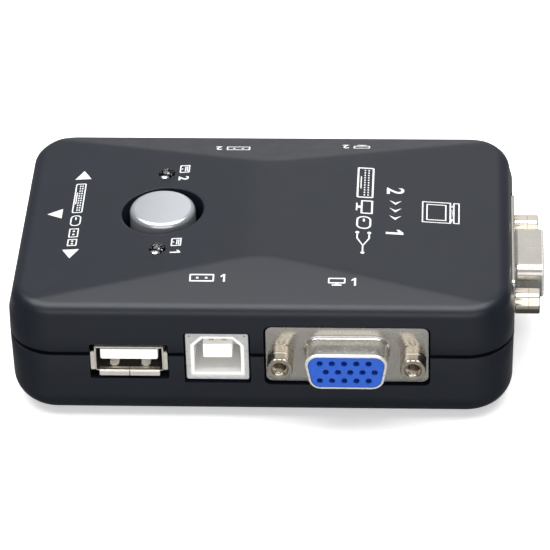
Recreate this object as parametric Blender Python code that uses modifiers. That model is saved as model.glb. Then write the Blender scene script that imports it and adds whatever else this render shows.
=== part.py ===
"""A KVM switch: one keyboard, mouse and monitor shared by two computers.

The frame is +X to the right end (the monitor socket), +Y to the back (the second computer's
sockets) and +Z up, with the origin under the middle of the case, on the surface it stands on.
"""

import math

import bmesh
import bpy
from mathutils import Matrix, Vector

MM = 0.001

# The case: two moulded shells that meet at a shadow gap.
CASE_WIDTH = 96.2 * MM
CASE_DEPTH = 62.0 * MM
CORNER_RADIUS = 9.1 * MM
WALL = 2.0 * MM
PARTING_HEIGHT = 15.4 * MM
PARTING_GAP = 0.7 * MM
TOP_DRAFT = math.radians(2.0)
BOTTOM_DRAFT = math.radians(1.0)
TOP_EDGE_BEVEL = 2.1 * MM
BOTTOM_EDGE_BEVEL = 5.8 * MM

# The roof: two end slopes that meet in a broad round crest, cut off front and back by facets.
EDGE_HEIGHT = 25.5 * MM
ROOF_INSET = 2.8 * MM
END_SLOPE = math.atan(0.065)
FACET_SLOPE = math.atan(0.234)
CREST_RADIUS = 80.0 * MM
CREST_PLANES = 6
BLOCK_TOP = 34.0 * MM

# The lip of the lower shell, and the recess in the upper one that takes it.
LIP_INSET = 1.1 * MM
LIP_TOP = 16.6 * MM
LIP_FOOT = 13.4 * MM
RECESS_INSET = 0.8 * MM
RECESS_TOP = 16.9 * MM

# Case screws, up through the lower shell into the upper one.
SCREW_X = 37.5 * MM
SCREW_Y = 21.0 * MM
SCREW_RADIUS = 1.35 * MM
SCREW_HEAD_RADIUS = 2.6 * MM
SCREW_HEAD_BOTTOM = 1.7 * MM
SCREW_HEAD_TOP = 3.7 * MM
SCREW_TIP = 16.0 * MM
CROSS_REACH = 1.5 * MM
CROSS_WIDTH = 0.6 * MM
CROSS_DEPTH = 1.0 * MM
COUNTERBORE_RADIUS = 3.1 * MM
COUNTERBORE_TOP = 4.0 * MM
LOWER_BOSS_RADIUS = 4.3 * MM
LOWER_BOSS_TOP = 9.3 * MM
UPPER_BOSS_RADIUS = 3.2 * MM
UPPER_BOSS_FOOT = 9.6 * MM
UPPER_BOSS_TOP = 24.8 * MM
PILOT_RADIUS = 1.65 * MM
PILOT_TOP = 18.0 * MM

# The board and the posts that hold it.
BOARD_WIDTH = 88.0 * MM
BOARD_DEPTH = 54.0 * MM
BOARD_BOTTOM = 7.65 * MM
BOARD_TOP = 9.25 * MM
BOARD_NOTCH_X = 32.8 * MM
BOARD_NOTCH_Y = 16.3 * MM
POST_X = 34.5 * MM
POST_Y = 12.0 * MM
POST_RADIUS = 2.0 * MM
PEG_RADIUS = 1.0 * MM
GAP = 0.3 * MM

# The push button and the tactile switch under it.
BUTTON_X = -20.0 * MM
BUTTON_Y = 0.0
BUTTON_RADIUS = 6.4 * MM
BUTTON_TOP = 28.2 * MM
BUTTON_FOOT = 21.0 * MM
BUTTON_WELL_RADIUS = 7.95 * MM
COLLAR_RADIUS = 9.4 * MM
COLLAR_FOOT = 19.5 * MM
COLLAR_TOP = 26.35 * MM
STEM_RADIUS = 1.7 * MM
STEM_TOP = 24.7 * MM
SWITCH_SIDE = 6.0 * MM
SWITCH_BOTTOM = BOARD_TOP + GAP
SWITCH_TOP = 12.45 * MM
CHAMBER_RADIUS = 2.5 * MM
CHAMBER_FLOOR = SWITCH_BOTTOM + 0.6 * MM
DOME_RISE = 0.5 * MM
DOME_SHEET = 0.2 * MM
PLATE = 0.35 * MM
PLUNGER_FLANGE_RADIUS = 2.2 * MM
PLUNGER_NUB_RADIUS = 0.8 * MM

# Status lights.
LED_X = -20.1 * MM
LED_Y = 13.0 * MM
LED_RADIUS = 1.5 * MM
LED_TOP = 28.2 * MM
LED_HOLE_RADIUS = 1.8 * MM
LED_FOOT = 22.9 * MM
LED_RIDGE = 0.4 * MM
LED_LEAD_SPREAD = 1.27 * MM
LEAD_SIDE = 0.5 * MM
LEAD_FOOT = 6.6 * MM
LED_LEADS = [
    (LED_X + lead * LED_LEAD_SPREAD, side * LED_Y) for side in (-1, 1) for lead in (-1, 1)
]

# Sockets, by the height of their middle.
VGA_HEIGHT = 15.3 * MM
USB_A_HEIGHT = 14.1 * MM
USB_B_HEIGHT = 14.7 * MM
VGA_X = 16.6 * MM
USB_A_X = -24.7 * MM
USB_B_X = -7.95 * MM

# The fifteen-way video socket.
FLANGE_WIDTH = 30.8 * MM
FLANGE_HEIGHT = 12.5 * MM
FLANGE_RECESS = 0.5 * MM
FLANGE_THICKNESS = 0.8 * MM
FLANGE_RADIUS = 1.3 * MM
JACK_SPREAD = 12.5 * MM
D_WIDTH = 16.33 * MM
D_HEIGHT = 7.9 * MM
D_LENGTH = 5.7 * MM
D_SLANT = math.radians(10.0)
D_CORNER = 2.4 * MM
D_RIM = 0.5 * MM
D_WALL = 0.5 * MM
CONTACT_PITCH = 2.29 * MM
CONTACT_ROW = 1.98 * MM
CONTACT_SHIFT = 1.145 * MM
CONTACT_RADIUS = 0.55 * MM
CONTACT_DEPTH = 4.0 * MM
VIDEO_BODY_WIDTH = 20.8 * MM
VIDEO_BODY_TOP = 5.2 * MM
VIDEO_BODY_BACK = -10.0 * MM
BRACKET_WIDTH = 3.6 * MM
BRACKET_SHEET = 0.8 * MM
JACK_LENGTH = 4.8 * MM
JACK_RADIUS = 2.65 * MM
JACK_BORE_RADIUS = 1.3 * MM
JACK_BORE_FLOOR = 0.6 * MM
JACK_HOLE_RADIUS = 1.6 * MM
JACK_TAIL = 2.6 * MM

# USB sockets.
A_INNER_WIDTH = 12.5 * MM
A_INNER_HEIGHT = 5.12 * MM
A_LIP_WIDTH = 14.6 * MM
A_LIP_DROP = 1.0 * MM
A_LENGTH = 14.0 * MM
A_FRONT = -0.1 * MM
A_TONGUE_WIDTH = 11.0 * MM
A_TONGUE_HEIGHT = 1.9 * MM
A_TONGUE_RISE = 1.15 * MM
B_OUTER_WIDTH = 11.9 * MM
B_OUTER_HEIGHT = 10.6 * MM
B_LENGTH = 16.0 * MM
B_FRONT = -0.4 * MM
B_CAVITY_DEPTH = 9.5 * MM
B_TONGUE_WIDTH = 5.5 * MM
B_TONGUE_HEIGHT = 3.2 * MM
B_TONGUE_RISE = 0.7 * MM
B_OPENING_WIDTH = 9.0 * MM
B_OPENING_HEIGHT = 8.0 * MM
B_CHAMFER = 1.7 * MM
SHEET = 0.3 * MM
LEG_WIDTH = 2.0 * MM
LEG_THICKNESS = 0.5 * MM
LEG_FOOT = 6.4 * MM
LEG_DISTANCE = {"usb_a": A_INNER_WIDTH / 2 + SHEET / 2, "usb_b": B_OUTER_WIDTH / 2 - SHEET / 2}
LEG_DEPTH = {"usb_a": -8.0 * MM, "usb_b": -9.0 * MM}

FRONT, RIGHT, BACK, LEFT = (math.radians(turn) for turn in (0, 90, 180, 270))

# Each kind of window in the case: width, height, how far its middle is above the socket's, corner radius.
SOCKET_WINDOWS = {
    "vga": (FLANGE_WIDTH + 0.6 * MM, FLANGE_HEIGHT + 0.9 * MM, -0.15 * MM, 1.2 * MM),
    "usb_a": (A_LIP_WIDTH + 0.4 * MM, 7.9 * MM, -0.55 * MM, 0.4 * MM),
    "usb_b": (B_OUTER_WIDTH + 0.7 * MM, B_OUTER_HEIGHT + 0.9 * MM, -0.25 * MM, 0.4 * MM),
}
# How much further the monitor's socket stands out of its wall than the others.
MONITOR_PROUD = 0.7 * MM

WINDOW_REACH = 3.6 * MM

# Each socket: its kind, its side of the case, how far along that side, and its height.
SOCKETS = {
    "vga_front": ("vga", FRONT, VGA_X, VGA_HEIGHT),
    "vga_back": ("vga", BACK, VGA_X, VGA_HEIGHT),
    "vga_monitor": ("vga", RIGHT, 0.0, VGA_HEIGHT),
    "usb_a_front": ("usb_a", FRONT, USB_A_X, USB_A_HEIGHT),
    "usb_a_back": ("usb_a", BACK, USB_A_X, USB_A_HEIGHT),
    "usb_a_left": ("usb_a", LEFT, 0.0, USB_A_HEIGHT),
    "usb_b_front": ("usb_b", FRONT, USB_B_X, USB_B_HEIGHT),
    "usb_b_back": ("usb_b", BACK, USB_B_X, USB_B_HEIGHT),
}


def clear_scene():
    for old in list(bpy.data.objects):
        bpy.data.objects.remove(old, do_unlink=True)


def new_collection(name):
    made = bpy.data.collections.new(name)
    bpy.context.scene.collection.children.link(made)
    return made


clear_scene()
PARTS = new_collection("kvm_switch")
CUTTERS = new_collection("cutters")
CUTTERS.hide_render = True


def material(name, colour, roughness, metallic=0.0):
    made = bpy.data.materials.new(name)
    made.use_nodes = True
    shader = made.node_tree.nodes["Principled BSDF"]
    shader.inputs["Base Color"].default_value = (*colour, 1.0)
    shader.inputs["Roughness"].default_value = roughness
    shader.inputs["Metallic"].default_value = metallic
    return made


# Meshes from primitives and outlines.


def block(low, high):
    """A box between two opposite corners."""
    shape = bmesh.new()
    bmesh.ops.create_cube(shape, size=1.0)
    low, high = Vector(low), Vector(high)
    bmesh.ops.scale(shape, vec=high - low, verts=shape.verts)
    bmesh.ops.translate(shape, vec=(high + low) / 2, verts=shape.verts)
    return shape


def rod(x, y, low, high, radius, sides=16):
    """A cylinder along Z."""
    shape = bmesh.new()
    bmesh.ops.create_cone(
        shape, cap_ends=True, segments=sides, radius1=radius, radius2=radius, depth=high - low
    )
    bmesh.ops.translate(shape, vec=(x, y, (low + high) / 2), verts=shape.verts)
    return shape


def merged(*shapes):
    """Several shapes that don't touch, as one mesh."""
    whole = bmesh.new()
    for shape in shapes:
        carrier = bpy.data.meshes.new("carrier")
        shape.to_mesh(carrier)
        shape.free()
        whole.from_mesh(carrier)
        bpy.data.meshes.remove(carrier)
    return whole


def rounded(corners, radii, steps=3):
    """The outline through these corners, counter-clockwise, each rounded to its radius."""
    outline = []
    count = len(corners)
    for index, radius in enumerate(radii):
        corner = Vector(corners[index])
        before = (Vector(corners[index - 1]) - corner).normalized()
        after = (Vector(corners[(index + 1) % count]) - corner).normalized()
        if radius == 0:
            outline.append(corner)
            continue
        half = before.angle(after) / 2
        centre = corner + (before + after).normalized() * radius / math.sin(half)
        start = corner + before * radius / math.tan(half) - centre
        turn = math.pi - 2 * half
        for step in range(steps + 1):
            outline.append(centre + Matrix.Rotation(turn * step / steps, 2) @ start)
    return outline


def rectangle(width, height, radius=0.0, middle=(0.0, 0.0), steps=3):
    x, y = middle
    w, h = width / 2, height / 2
    corners = ((x - w, y - h), (x + w, y - h), (x + w, y + h), (x - w, y + h))
    return rounded(corners, (radius,) * 4, steps)


def prism(outline, low, high):
    """A flat outline made solid between two heights."""
    curve = bpy.data.curves.new("outline", "CURVE")
    curve.dimensions = "2D"
    curve.fill_mode = "BOTH"
    curve.extrude = (high - low) / 2
    spline = curve.splines.new("POLY")
    spline.points.add(len(outline) - 1)
    for point, (x, y) in zip(spline.points, outline):
        point.co = (x, y, 0.0, 1.0)
    spline.use_cyclic_u = True
    holder = bpy.data.objects.new("outline", curve)
    mesh = bpy.data.meshes.new_from_object(holder)
    shape = bmesh.new()
    shape.from_mesh(mesh)
    bmesh.ops.remove_doubles(shape, verts=shape.verts, dist=1e-6)
    bmesh.ops.recalc_face_normals(shape, faces=shape.faces)
    bmesh.ops.translate(shape, vec=(0, 0, (low + high) / 2), verts=shape.verts)
    bpy.data.objects.remove(holder)
    bpy.data.curves.remove(curve)
    bpy.data.meshes.remove(mesh)
    return shape


# Objects.


def place(name, shape, finish, matrix=None):
    """A part from a mesh or from a shape that is used up."""
    if isinstance(shape, bpy.types.Mesh):
        mesh = shape
    else:
        mesh = bpy.data.meshes.new(name)
        shape.to_mesh(mesh)
        shape.free()
    if finish and not mesh.materials:
        mesh.materials.append(finish)
    made = bpy.data.objects.new(name, mesh)
    PARTS.objects.link(made)
    if matrix is not None:
        made.matrix_world = matrix
    return made


def cutter(name, shape):
    made = place(name, shape, None)
    PARTS.objects.unlink(made)
    CUTTERS.objects.link(made)
    made.hide_render = True
    made.display_type = "WIRE"
    return made


def combine(target, operation, name, shape):
    modifier = target.modifiers.new(name, "BOOLEAN")
    modifier.operation = operation
    modifier.object = cutter(name, shape)


def cut(target, name, shape):
    combine(target, "DIFFERENCE", name, shape)


def join(target, name, shape):
    combine(target, "UNION", name, shape)


def settle(piece):
    """The finished mesh of a piece, with its modifiers and their helpers used up."""
    helpers = [m.object for m in piece.modifiers if m.type == "BOOLEAN"]
    bpy.context.view_layer.update()
    graph = bpy.context.evaluated_depsgraph_get()
    mesh = bpy.data.meshes.new_from_object(piece.evaluated_get(graph))
    mesh.name = piece.name
    for used in [piece, *helpers]:
        bpy.data.objects.remove(used, do_unlink=True)
    return mesh


def turned(name, profile, finish, steps=16, place_at=(0, 0)):
    """A turned piece: the profile runs from the axis, down the outside and back to the axis."""
    mesh = bpy.data.meshes.new(name)
    edges = [(index, index + 1) for index in range(len(profile) - 1)]
    mesh.from_pydata([(radius, 0.0, height) for radius, height in profile], edges, [])
    piece = place(name, mesh, finish)
    piece.location = (*place_at, 0.0)
    spin = piece.modifiers.new("Turn", "SCREW")
    spin.axis = "Z"
    spin.steps = steps
    spin.render_steps = steps
    spin.use_merge_vertices = True
    spin.merge_threshold = 1e-6
    return piece


def soften(piece):
    piece.data.shade_smooth()
    piece.data.set_sharp_from_angle(angle=math.radians(35))


# The case.


def round_posts(shape, radius, segments):
    """Rounds the four upright edges."""
    upright = [e for e in shape.edges if abs((e.verts[0].co - e.verts[1].co).normalized().z) > 0.9]
    bmesh.ops.bevel(
        shape, geom=upright, offset=radius, segments=segments, profile=0.5, affect="EDGES"
    )


def tapered_block(low, high, inset, wide_height, draft, radius, segments):
    """A block with the case's plan, drawn in by inset, widest at one height and drafted from it."""
    shape = block((-CASE_WIDTH / 2, -CASE_DEPTH / 2, low), (CASE_WIDTH / 2, CASE_DEPTH / 2, high))
    for corner in shape.verts:
        drawn_in = inset + abs(corner.co.z - wide_height) * math.tan(draft)
        corner.co.x -= math.copysign(drawn_in, corner.co.x)
        corner.co.y -= math.copysign(drawn_in, corner.co.y)
    round_posts(shape, radius, segments)
    return shape


def roof_planes(drop):
    """A point and an outward normal for each plane of the roof, lowered by drop."""
    reach = CASE_WIDTH / 2 - ROOF_INSET
    for step in range(CREST_PLANES):
        lean = END_SLOPE * (2 * step / (CREST_PLANES - 1) - 1)
        normal = Vector((math.sin(lean), 0, math.cos(lean)))
        # The end planes pass through the edge height; those between touch the crest's cylinder.
        crest = EDGE_HEIGHT + reach * math.tan(END_SLOPE)
        axis = Vector((0, 0, crest - CREST_RADIUS / math.cos(END_SLOPE)))
        yield axis + normal * (CREST_RADIUS - drop), normal
    for side in (-1, 1):
        normal = Vector((0, side * math.sin(FACET_SLOPE), math.cos(FACET_SLOPE)))
        foot = Vector((0, side * (CASE_DEPTH / 2 - ROOF_INSET), EDGE_HEIGHT))
        yield foot - normal * drop, normal


def cut_roof(shape, drop=0.0):
    for point, normal in roof_planes(drop):
        bmesh.ops.bisect_plane(
            shape,
            geom=[*shape.verts, *shape.edges, *shape.faces],
            plane_co=point,
            plane_no=normal,
            clear_outer=True,
        )
        opened = [edge for edge in shape.edges if edge.is_boundary]
        bmesh.ops.edgeloop_fill(shape, edges=opened)
    bmesh.ops.recalc_face_normals(shape, faces=shape.faces)


def edges_between(shape, is_first, is_second):
    for edge in shape.edges:
        one, other = (face.normal for face in edge.link_faces)
        if (is_first(one) and is_second(other)) or (is_first(other) and is_second(one)):
            yield edge


def round_edges(shape, towards, offset, segments):
    """Rounds the edges between the walls and the faces that look up (+1) or down (-1)."""
    shape.normal_update()
    chosen = list(
        edges_between(shape, lambda n: n.z * towards > 0.8, lambda n: abs(n.z) < 0.3)
    )
    bmesh.ops.bevel(
        shape, geom=chosen, offset=offset, segments=segments, profile=0.5, affect="EDGES"
    )


def ring(low, high, outer_inset, inner_inset):
    """A band that follows the case's plan."""
    outer = rectangle(
        CASE_WIDTH - 2 * outer_inset, CASE_DEPTH - 2 * outer_inset, CORNER_RADIUS - outer_inset
    )
    inner = rectangle(
        CASE_WIDTH - 2 * inner_inset, CASE_DEPTH - 2 * inner_inset, CORNER_RADIUS - inner_inset
    )
    band = place("band", prism(outer, low, high), None)
    cut(band, "band_inside", prism(inner, low - 1 * MM, high + 1 * MM))
    shape = bmesh.new()
    shape.from_mesh(settle(band))
    return shape


def corners_of(x, y):
    return [(sx * x, sy * y) for sx in (-1, 1) for sy in (-1, 1)]


def socket_matrix(side, along, height):
    """Stands a socket in its wall: its own Z points out of the case and its own Y up."""
    if side in (FRONT, BACK):
        spot = Vector((along, -CASE_DEPTH / 2 if side == FRONT else CASE_DEPTH / 2, height))
    else:
        reach = CASE_WIDTH / 2 + MONITOR_PROUD
        spot = Vector((reach if side == RIGHT else -CASE_WIDTH / 2, along, height))
    turn = Matrix.Rotation(side, 4, "Z") @ Matrix.Rotation(math.radians(90), 4, "X")
    return Matrix.Translation(spot) @ turn


def cut_windows(cover, prefix):
    for name, (kind, side, along, height) in SOCKETS.items():
        width, tall, rise, radius = SOCKET_WINDOWS[kind]
        shape = prism(rectangle(width, tall, radius, (0.0, rise), 2), -WINDOW_REACH, 1 * MM)
        shape.transform(socket_matrix(side, along, height))
        cut(cover, f"{prefix}_{name}_window", shape)


def top_cover():
    foot = PARTING_HEIGHT + PARTING_GAP / 2
    outside = tapered_block(foot, BLOCK_TOP, 0.0, foot, TOP_DRAFT, CORNER_RADIUS, 6)
    cut_roof(outside)
    round_edges(outside, 1, TOP_EDGE_BEVEL, 3)
    cover = place("top_cover", outside, material("top_cover", (0.028, 0.03, 0.034), 0.42))
    inside = tapered_block(
        foot - 1 * MM, BLOCK_TOP, WALL, foot, TOP_DRAFT, CORNER_RADIUS - WALL, 4
    )
    cut_roof(inside, WALL)
    cut(cover, "top_cavity", inside)
    for index, (x, y) in enumerate(corners_of(SCREW_X, SCREW_Y), 1):
        boss = rod(x, y, UPPER_BOSS_FOOT, UPPER_BOSS_TOP, UPPER_BOSS_RADIUS)
        join(cover, f"upper_boss_{index}", boss)
    for index, (x, y) in enumerate(corners_of(POST_X, POST_Y), 1):
        post = rod(x, y, BOARD_TOP + GAP, UPPER_BOSS_TOP, POST_RADIUS, 12)
        join(cover, f"hold_down_{index}", post)
    collar = rod(BUTTON_X, BUTTON_Y, COLLAR_FOOT, COLLAR_TOP, COLLAR_RADIUS, 32)
    join(cover, "button_collar", collar)
    well = rod(BUTTON_X, BUTTON_Y, COLLAR_FOOT - 1 * MM, BLOCK_TOP, BUTTON_WELL_RADIUS, 32)
    cut(cover, "button_well", well)
    for side in (-1, 1):
        hole = rod(LED_X, side * LED_Y, EDGE_HEIGHT - 4 * MM, BLOCK_TOP, LED_HOLE_RADIUS)
        cut(cover, f"led_hole_{side}", hole)
    for index, (x, y) in enumerate(corners_of(SCREW_X, SCREW_Y), 1):
        pilot = rod(x, y, UPPER_BOSS_FOOT - 1 * MM, PILOT_TOP, PILOT_RADIUS, 12)
        cut(cover, f"pilot_{index}", pilot)
    recess = ring(foot - 1 * MM, RECESS_TOP, RECESS_INSET, WALL + 0.5 * MM)
    cut(cover, "lip_recess", recess)
    cut_windows(cover, "top")
    return cover


def bottom_cover():
    rim = PARTING_HEIGHT - PARTING_GAP / 2
    outside = tapered_block(0.0, rim, 0.0, rim, BOTTOM_DRAFT, CORNER_RADIUS, 6)
    round_edges(outside, -1, BOTTOM_EDGE_BEVEL, 4)
    cover = place("bottom_cover", outside, material("bottom_cover", (0.026, 0.028, 0.032), 0.45))
    inside = tapered_block(
        WALL, rim + 1 * MM, WALL, rim, BOTTOM_DRAFT, CORNER_RADIUS - WALL, 4
    )
    round_edges(inside, -1, BOTTOM_EDGE_BEVEL - WALL, 2)
    cut(cover, "bottom_cavity", inside)
    join(cover, "lip", ring(LIP_FOOT, LIP_TOP, LIP_INSET, WALL + 0.2 * MM))
    for index, (x, y) in enumerate(corners_of(SCREW_X, SCREW_Y), 1):
        boss = rod(x, y, WALL / 2, LOWER_BOSS_TOP, LOWER_BOSS_RADIUS)
        join(cover, f"lower_boss_{index}", boss)
        cut(cover, f"counterbore_{index}", rod(x, y, -1 * MM, COUNTERBORE_TOP, COUNTERBORE_RADIUS))
        clearance = rod(x, y, COUNTERBORE_TOP - 1 * MM, LOWER_BOSS_TOP + 1 * MM, PILOT_RADIUS, 12)
        cut(cover, f"screw_clearance_{index}", clearance)
    for index, (x, y) in enumerate(corners_of(POST_X, POST_Y), 1):
        post = rod(x, y, WALL / 2, BOARD_BOTTOM - GAP, POST_RADIUS + 0.5 * MM, 12)
        join(cover, f"board_post_{index}", post)
        peg = rod(x, y, BOARD_BOTTOM - 1 * MM, BOARD_TOP - GAP, PEG_RADIUS, 12)
        join(cover, f"board_peg_{index}", peg)
    cut_windows(cover, "bottom")
    return cover


def case_screws():
    steel = material("case_screw", (0.35, 0.35, 0.36), 0.35, 1.0)
    edge = 0.5 * MM
    profile = [
        (0.0, SCREW_TIP),
        (SCREW_RADIUS - edge, SCREW_TIP),
        (SCREW_RADIUS, SCREW_TIP - 2 * edge),
        (SCREW_RADIUS, SCREW_HEAD_TOP),
        (SCREW_HEAD_RADIUS, SCREW_HEAD_TOP),
        (SCREW_HEAD_RADIUS, SCREW_HEAD_BOTTOM + edge),
        (SCREW_HEAD_RADIUS - edge, SCREW_HEAD_BOTTOM),
        (0.0, SCREW_HEAD_BOTTOM),
    ]
    pattern = turned("screw_pattern", profile, steel)
    for turn in (0, 90):
        reach, half = CROSS_REACH, CROSS_WIDTH / 2
        arm = block((-reach, -half, 0.0), (reach, half, SCREW_HEAD_BOTTOM + CROSS_DEPTH))
        arm.transform(Matrix.Rotation(math.radians(turn), 4, "Z"))
        cut(pattern, f"cross_{turn}", arm)
    mesh = settle(pattern)
    for index, (x, y) in enumerate(corners_of(SCREW_X, SCREW_Y), 1):
        place(f"case_screw_{index}", mesh, steel, Matrix.Translation((x, y, 0)))


# The board and what stands on it.


def main_board():
    green = material("main_board", (0.02, 0.16, 0.06), 0.4)
    outline = rectangle(BOARD_WIDTH, BOARD_DEPTH)
    board = place("main_board", prism(outline, BOARD_BOTTOM, BOARD_TOP), green)
    low, high = BOARD_BOTTOM - 1 * MM, BOARD_TOP + 1 * MM
    for index, (hand, side) in enumerate(corners_of(1, 1), 1):
        left, right = sorted((hand * BOARD_NOTCH_X, hand * BOARD_WIDTH))
        front, back = sorted((side * BOARD_NOTCH_Y, side * BOARD_DEPTH))
        cut(board, f"board_notch_{index}", block((left, front, low), (right, back, high)))
    pegs = [rod(x, y, low, high, PEG_RADIUS + GAP, 12) for x, y in corners_of(POST_X, POST_Y)]
    cut(board, "peg_holes", merged(*pegs))
    side = LEAD_SIDE / 2 + GAP
    leads = [block((x - side, y - side, low), (x + side, y + side, high)) for x, y in LED_LEADS]
    cut(board, "lead_holes", merged(*leads))
    slots = []
    for kind, turn, along, height in SOCKETS.values():
        if kind == "vga":
            continue
        half, reach = LEG_THICKNESS / 2 + GAP, LEG_WIDTH / 2 + GAP
        for hand in (-1, 1):
            x, z = hand * LEG_DISTANCE[kind], LEG_DEPTH[kind]
            slot = block((x - half, low - height, z - reach), (x + half, high - height, z + reach))
            slot.transform(socket_matrix(turn, along, height))
            slots.append(slot)
    cut(board, "leg_slots", merged(*slots))
    return board


def chip(name, x, y, width, depth, height, colour, roughness=0.5):
    """A component body with its top edges chamfered, standing just clear of the board."""
    foot = BOARD_TOP + GAP
    low = (x - width / 2, y - depth / 2, foot)
    high = (x + width / 2, y + depth / 2, foot + height)
    shape = block(low, high)
    round_edges(shape, 1, 0.2 * MM, 1)
    place(name, shape, material(name, colour, roughness))


def capacitor(name, x, y):
    foot, top, radius, edge = BOARD_TOP + GAP, 17.5 * MM, 2.5 * MM, 0.4 * MM
    groove = foot + 1.2 * MM
    profile = [
        (0.0, top),
        (radius - edge, top),
        (radius, top - edge),
        (radius, groove + edge),
        (radius - edge, groove),
        (radius, groove - edge),
        (radius, foot),
        (0.0, foot),
    ]
    soften(turned(name, profile, material(name, (0.02, 0.03, 0.12), 0.35), 16, (x, y)))


def crystal():
    foot, height = BOARD_TOP + GAP, 3.4 * MM
    outline = rectangle(10.8 * MM, 4.5 * MM, 2.2 * MM, (-2.0 * MM, -8.0 * MM), 4)
    can = prism(outline, foot, foot + height)
    piece = place("crystal", can, material("crystal", (0.7, 0.7, 0.68), 0.25, 1.0))
    soften(piece)


def components():
    black = (0.015, 0.015, 0.016)
    chip("hub_chip", -2.0 * MM, 1.0 * MM, 10.2 * MM, 5.4 * MM, 1.7 * MM, black)
    for index, (x, y) in enumerate(((14.0, 7.5), (14.0, -7.5), (26.0, 0.0)), 1):
        chip(f"video_switch_chip_{index}", x * MM, y * MM, 9.9 * MM, 3.9 * MM, 1.5 * MM, black)
    chip("regulator", -30.0 * MM, -9.5 * MM, 4.5 * MM, 2.5 * MM, 1.5 * MM, black)
    crystal()
    capacitor("capacitor_1", -6.5 * MM, 9.5 * MM)
    capacitor("capacitor_2", 3.5 * MM, 11.0 * MM)


# The button and its switch.


def button():
    """The cap, with a socket inside that grips the switch's stem."""
    edge, dome, shell, floor = 0.85 * MM, 0.15 * MM, 1.2 * MM, 1.8 * MM
    arc = [
        (
            BUTTON_RADIUS - edge + edge * math.sin(math.radians(angle)),
            BUTTON_TOP - dome - edge + edge * math.cos(math.radians(angle)),
        )
        for angle in (0, 30, 60, 90)
    ]
    bore, boss = STEM_RADIUS + GAP, STEM_RADIUS + GAP + 1.0 * MM
    profile = [
        (0.0, BUTTON_TOP),
        *arc,
        (BUTTON_RADIUS, BUTTON_FOOT),
        (BUTTON_RADIUS - shell, BUTTON_FOOT),
        (BUTTON_RADIUS - shell, BUTTON_TOP - floor),
        (boss, BUTTON_TOP - floor),
        (boss, BUTTON_FOOT + 1 * MM),
        (bore, BUTTON_FOOT + 1 * MM),
        (bore, STEM_TOP + GAP),
        (0.0, STEM_TOP + GAP),
    ]
    silver = material("button_cap", (0.72, 0.73, 0.75), 0.3)
    soften(turned("button_cap", profile, silver, 32, (BUTTON_X, BUTTON_Y)))


def tactile_switch():
    """A long-stemmed tactile switch: base, snap dome, plunger and cover plate."""
    half = SWITCH_SIDE / 2
    low = (BUTTON_X - half, BUTTON_Y - half, SWITCH_BOTTOM)
    high = (BUTTON_X + half, BUTTON_Y + half, SWITCH_TOP)
    base = place("switch_base", block(low, high), material("switch_base", (0.02, 0.02, 0.02), 0.5))
    chamber = rod(BUTTON_X, BUTTON_Y, CHAMBER_FLOOR, SWITCH_TOP + 1 * MM, CHAMBER_RADIUS)
    cut(base, "switch_chamber", chamber)
    steel = material("switch_cover", (0.6, 0.6, 0.6), 0.3, 1.0)
    low = (BUTTON_X - half, BUTTON_Y - half, SWITCH_TOP + GAP)
    high = (BUTTON_X + half, BUTTON_Y + half, SWITCH_TOP + GAP + PLATE)
    plate = place("switch_cover", block(low, high), steel)
    hole = rod(BUTTON_X, BUTTON_Y, SWITCH_TOP, SWITCH_TOP + 2 * MM, STEM_RADIUS + GAP)
    cut(plate, "stem_hole", hole)
    switch_dome()
    switch_plunger()


def switch_dome():
    foot, rim, steps = CHAMBER_FLOOR + GAP, CHAMBER_RADIUS - GAP, 4
    top = []
    for step in range(steps + 1):
        share = step / steps
        top.append((rim * share, foot + DOME_SHEET + DOME_RISE * math.cos(math.pi / 2 * share)))
    under = [(radius, height - DOME_SHEET) for radius, height in reversed(top)]
    spring = material("switch_dome", (0.7, 0.7, 0.7), 0.25, 1.0)
    soften(turned("switch_dome", top + under, spring, 16, (BUTTON_X, BUTTON_Y)))


def switch_plunger():
    flange_top = SWITCH_TOP + GAP / 3
    flange_foot = flange_top - 0.5 * MM
    nub_foot = CHAMBER_FLOOR + GAP + DOME_SHEET + DOME_RISE + GAP
    edge = 0.3 * MM
    profile = [
        (0.0, STEM_TOP),
        (STEM_RADIUS - edge, STEM_TOP),
        (STEM_RADIUS, STEM_TOP - edge),
        (STEM_RADIUS, flange_top),
        (PLUNGER_FLANGE_RADIUS, flange_top),
        (PLUNGER_FLANGE_RADIUS, flange_foot),
        (PLUNGER_NUB_RADIUS, flange_foot),
        (PLUNGER_NUB_RADIUS, nub_foot),
        (0.0, nub_foot),
    ]
    plastic = material("switch_plunger", (0.03, 0.03, 0.03), 0.5)
    soften(turned("switch_plunger", profile, plastic, 16, (BUTTON_X, BUTTON_Y)))


def leds():
    """Two clear lamps on long leads."""
    clear = material("status_led", (0.8, 0.82, 0.85), 0.1)
    dome = [
        (
            LED_RADIUS * math.sin(math.radians(angle)),
            LED_TOP - LED_RADIUS + LED_RADIUS * math.cos(math.radians(angle)),
        )
        for angle in range(0, 91, 18)
    ]
    profile = [
        *dome,
        (LED_RADIUS, LED_FOOT + 2 * LED_RIDGE),
        (LED_RADIUS + LED_RIDGE, LED_FOOT + 2 * LED_RIDGE),
        (LED_RADIUS + LED_RIDGE, LED_FOOT),
        (0.0, LED_FOOT),
    ]
    pattern = turned("led_pattern", profile, clear)
    half = LEAD_SIDE / 2
    for hand in (-1, 1):
        x = hand * LED_LEAD_SPREAD
        lead = block((x - half, -half, LEAD_FOOT), (x + half, half, LED_FOOT + LED_RIDGE))
        join(pattern, f"lead_{hand}", lead)
    mesh = settle(pattern)
    for number, side in ((1, -1), (2, 1)):
        spot = Matrix.Translation((LED_X, side * LED_Y, 0))
        soften(place(f"status_led_{number}", mesh, clear, spot))


# Sockets, in their own frame: X to the right, Y up and Z out of the case, from the case's face.


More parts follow.
